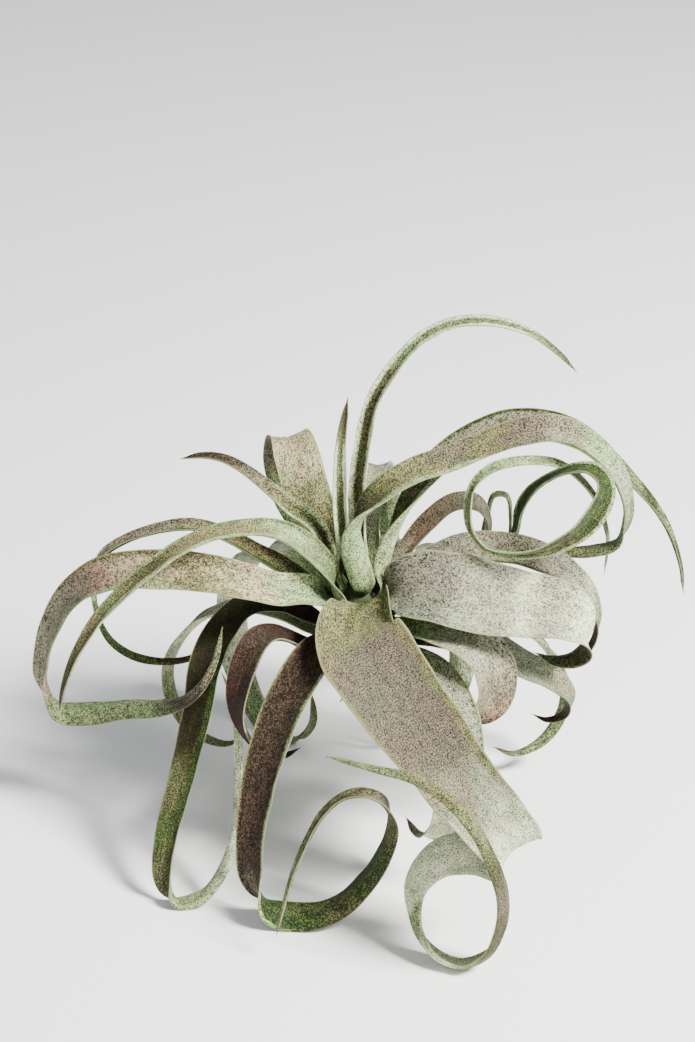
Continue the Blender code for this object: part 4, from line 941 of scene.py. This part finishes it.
def leaf_material(name, seed_shift):
    """Leaf skin in its own tones, under a felt of fine pale scales with dark pores."""
    n = Nodes(name)
    place = n.node("ShaderNodeAttribute", attribute_name="leaf_place").outputs["Vector"]
    tone = n.node("ShaderNodeAttribute", attribute_name="leaf_tone")
    edge = n.node("ShaderNodeAttribute", attribute_name="leaf_edge").outputs["Fac"]
    skin, cover = tone.outputs["Color"], tone.outputs["Alpha"]
    shifted = n.node("ShaderNodeVectorMath", operation="ADD")
    n.put(shifted.inputs[0], place)
    shifted.inputs[1].default_value = (0.0, seed_shift, 0.0)
    place = shifted.outputs[0]

    # Noise fields, stretched along the leaf; each triple is across, along and per leaf.
    broad = n.noise(n.scaled(place, (0.16, 0.07, 1.0)), 1.0, 3.0)
    patchy = n.noise(n.scaled(place, (0.7, 0.30, 1.0)), 1.0, 4.0, 0.6)
    streaks = n.noise(n.scaled(place, (2.8, 0.10, 1.0)), 1.0, 3.0)
    grain = n.noise(n.scaled(place, (3.4, 2.2, 1.0)), 1.0, 4.0, 0.7)

    # The skin's own tone, varied from broad patches down to grain.
    greener = n.mix(1.0, skin, GREENER, "MULTIPLY")
    browner = n.mix(1.0, skin, BROWNER, "MULTIPLY")
    skin = n.mix(n.band(broad, 0.35, 0.65), greener, browner)
    skin = n.mix(1.0, skin, n.band(patchy, 0.30, 0.70, 0.62, 1.22), "MULTIPLY")
    skin = n.mix(1.0, skin, n.band(streaks, 0.30, 0.70, 0.84, 1.10), "MULTIPLY")
    skin = n.mix(1.0, skin, n.band(grain, 0.32, 0.68, 0.72, 1.25), "MULTIPLY")

    # Pale scales, thick where the tone's cover is high, over the duller skin between them.
    felt = n.noise(n.scaled(place, (2.6, 1.9, 1.0)), 1.0, 2.0, 0.6)
    fine = n.noise(n.scaled(place, (5.0, 3.9, 1.0)), 1.0, 1.0, 0.5)
    felt = n.math("ADD", n.math("MULTIPLY", felt, 0.5), n.math("MULTIPLY", fine, 0.5))
    wanted = n.math("ADD", cover, n.math("MULTIPLY", n.math("SUBTRACT", patchy, 0.5), 0.5))
    level = n.band(wanted, 0.0, 1.0, 0.55, 0.455)
    shown = n.band(n.math("SUBTRACT", felt, level), -0.035, 0.045)
    flake_tint = n.mix(fine, DIM_FLAKE, BRIGHT_FLAKE)
    flake = n.mix(n.math("MULTIPLY", n.math("MULTIPLY", cover, cover), 0.34), skin, flake_tint)
    pale = n.mix(1.0, flake, FLAKE_GAIN, "MULTIPLY")
    dull = n.mix(cover, BARE_GAIN, COVERED_GAIN)
    dull = n.mix(1.0, skin, dull, "MULTIPLY")
    surface = n.mix(shown, dull, pale)

    # Dark pores in loose fields, then the pale rim.
    specks = n.cells(n.scaled(place, (1.0, 0.72, 1.0)), 2.6)
    pick = n.node("ShaderNodeSeparateColor", {"Color": specks.outputs["Color"]})
    pores = n.band(pick.outputs[2], 0.88, 0.95)
    pore_field = n.band(n.noise(n.scaled(place, (0.6, 0.4, 1.0)), 1.3, 2.0), 0.40, 0.60)
    pores = n.math("MULTIPLY", pores, n.band(specks.outputs["Distance"], 0.25, 0.55, 1.0, 0.0))
    pores = n.math("MULTIPLY", n.math("MULTIPLY", pores, pore_field), 0.85)
    surface = n.mix(pores, surface, PORE)

    rim = n.mix(0.5, skin, LEAF_RIM)
    surface = n.mix(n.band(edge, 0.93, 1.0, 0.0, 0.8), surface, rim)
    n.put(n.shader.inputs["Base Color"], surface)

    n.put(n.shader.inputs["Roughness"], n.band(shown, 0.0, 1.0, 0.58, 0.85))
    n.shader.inputs["Specular IOR Level"].default_value = 0.12
    n.shader.inputs["Sheen Weight"].default_value = 0.03
    n.shader.inputs["Sheen Roughness"].default_value = 0.5

    normal = n.bump(streaks, 0.35, 0.0003)
    height = n.math("ADD", shown, n.math("MULTIPLY", grain, 1.4))
    n.put(n.shader.inputs["Normal"], n.bump(height, 0.6, 0.00014, normal))
    return n.material


def bark_material():
    """Dry stem bark, ringed by old leaf scars."""
    n = Nodes("stem_bark_skin")
    place = n.node("ShaderNodeTexCoord").outputs["Object"]
    rings = n.noise(n.scaled(place, (60.0, 60.0, 900.0)), 1.0, 4.0, 0.6)
    grit = n.noise(place, 1600.0, 4.0, 0.6)
    skin = n.mix(rings, BARK_DARK, BARK_LIGHT)
    skin = n.mix(n.band(grit, 0.45, 0.7), skin, BARK_GRIT)
    # The stem's top is painted a very dark green: the leaf heart's own green, darkened as painted shade
    # under the crown.
    height = n.node("ShaderNodeSeparateXYZ", {"Vector": place}).outputs["Z"]
    fresh = n.band(height, CROWN.z - 9 * MM, CROWN.z - 4 * MM)
    skin = n.mix(fresh, skin, n.mix(rings, PAINTED_SHADE_HEART_DARK, PAINTED_SHADE_HEART_LIGHT))
    n.put(n.shader.inputs["Base Color"], skin)
    n.shader.inputs["Roughness"].default_value = 0.9
    n.put(n.shader.inputs["Normal"], n.bump(n.math("ADD", rings, grit), 0.7, 0.0005))
    return n.material


def fibre_material():
    """Pale dry fibre with lengthwise strands."""
    n = Nodes("root_fibre_skin")
    place = n.node("ShaderNodeTexCoord").outputs["Object"]
    strands = n.noise(n.scaled(place, (2600.0, 2600.0, 160.0)), 1.0, 3.0, 0.6)
    skin = n.mix(strands, FIBRE_DARK, FIBRE_LIGHT)
    n.put(n.shader.inputs["Base Color"], skin)
    n.shader.inputs["Roughness"].default_value = 0.85
    n.put(n.shader.inputs["Normal"], n.bump(strands, 0.6, 0.0002))
    return n.material


def build_leaves():
    """One finely swept blade in place of each leaf of the part."""
    for number, (name, (slot, bearing, height, rows)) in enumerate(LEAVES.items()):
        all_rows = base_rows(bearing, height, rows[0][1]) + rows
        material = leaf_material(name + "_skin", SKIN_SHIFT * number)
        blade = make_blade(name, 1.0 + 2.3 * number, all_rows, material)
        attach(blade, "root")
        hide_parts(name)


def dress_stem(fibre):
    """Bark on the stem and fibre on the roots."""
    bark = bark_material()
    for node in ("stem", "root_front", "root_left", "root_right"):
        item = bpy.data.objects[node]
        item.data.materials.clear()
        item.data.materials.append(bark if node == "stem" else fibre)


def add_dry_fibres(fibre):
    """A few hair-thin dry fibres caught on the curl of the broad front leaf."""
    ring = CROWN + Vector((13.5, -64.5, -52)) * MM
    points, faces = [], []
    for number in range(FIBRE_COUNT):
        turn = 2.1 * number
        bearing = Vector((math.cos(turn) * 0.35, -0.25, 0.8 * math.sin(turn * 0.7) - 0.2))
        length = (5.0 + 2.2 * math.sin(3 * number)) * MM
        start = len(points)
        for step in range(FIBRE_STEPS + 1):
            share = step / FIBRE_STEPS
            drift_x = noise.noise(Vector((share * 2, number, 0)))
            drift_z = noise.noise(Vector((share * 2, number, 5)))
            centre = ring + bearing * (length * share)
            centre += Vector((drift_x, 0, drift_z)) * 3 * MM
            radius = FIBRE_RADIUS * (1 - 0.6 * share)
            for side in range(FIBRE_SIDES):
                angle = 2 * math.pi / FIBRE_SIDES * side
                points.append(centre + Vector((math.cos(angle), math.sin(angle), 0)) * radius)
        for step in range(FIBRE_STEPS):
            first = start + step * FIBRE_SIDES
            for side in range(FIBRE_SIDES):
                low, beside = first + side, first + (side + 1) % FIBRE_SIDES
                faces.append((low, beside, beside + FIBRE_SIDES, low + FIBRE_SIDES))
    mesh = bpy.data.meshes.new("dry_fibres")
    mesh.from_pydata([tuple(point) for point in points], [], faces)
    mesh.materials.append(fibre)
    fibres = bpy.data.objects.new("dry_fibres", mesh)
    bpy.context.collection.objects.link(fibres)
    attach(fibres, "root")


def make_floor():
    """A wide plain floor, pale and matt."""
    material = Nodes("floor_paint")
    material.shader.inputs["Base Color"].default_value = colour(0.90, 0.90, 0.90)
    material.shader.inputs["Roughness"].default_value = 0.9
    mesh = bpy.data.meshes.new("floor")
    signs = [(-1, -1), (1, -1), (1, 1), (-1, 1)]
    corners = [(x * FLOOR_REACH, y * FLOOR_REACH, 0) for x, y in signs]
    mesh.from_pydata(corners, [], [(0, 1, 2, 3)])
    mesh.materials.append(material.material)
    floor = bpy.data.objects.new("floor", mesh)
    bpy.context.collection.objects.link(floor)


def add_light(name, place, energy, size, tint):
    """A square lamp aimed at the crown."""
    lamp = bpy.data.lights.new(name, "AREA")
    lamp.energy = energy
    lamp.size = size
    lamp.color = tint
    item = bpy.data.objects.new(name, lamp)
    item.location = place
    item.rotation_euler = (CROWN - Vector(place)).to_track_quat("-Z", "Y").to_euler()
    bpy.context.collection.objects.link(item)


def make_lights():
    """A key lamp at upper right, a weak fill at front left, and an even room."""
    add_light("key_light", (0.66, -0.34, 0.86), 56.0, 0.30, (1.0, 0.98, 0.95))
    add_light("fill_light", (-0.6, -1.2, 0.7), 4.0, 1.2, (0.96, 0.98, 1.0))
    world = bpy.data.worlds.new("soft_room")
    world.use_nodes = True
    background = world.node_tree.nodes["Background"]
    background.inputs["Color"].default_value = colour(0.9, 0.93, 1.0)
    background.inputs["Strength"].default_value = 0.5
    bpy.context.scene.world = world


def make_camera():
    """A front view from above, as one looks down at a plant in the hand."""
    tilt = math.radians(CAMERA_TILT)
    aim = CROWN + Vector(CAMERA_AIM) * MM
    back = Vector((0, -math.cos(tilt), math.sin(tilt)))
    lens = bpy.data.cameras.new("camera")
    lens.sensor_width = SENSOR
    lens.lens = LENS
    lens.clip_start = 0.01
    camera = bpy.data.objects.new("camera", lens)
    camera.location = aim + back * CAMERA_DISTANCE
    camera.rotation_euler = (-back).to_track_quat("-Z", "Y").to_euler()
    bpy.context.collection.objects.link(camera)
    bpy.context.scene.camera = camera


build_leaves()
root_fibre = fibre_material()
dress_stem(root_fibre)
add_dry_fibres(root_fibre)
make_floor()
make_lights()
make_camera()
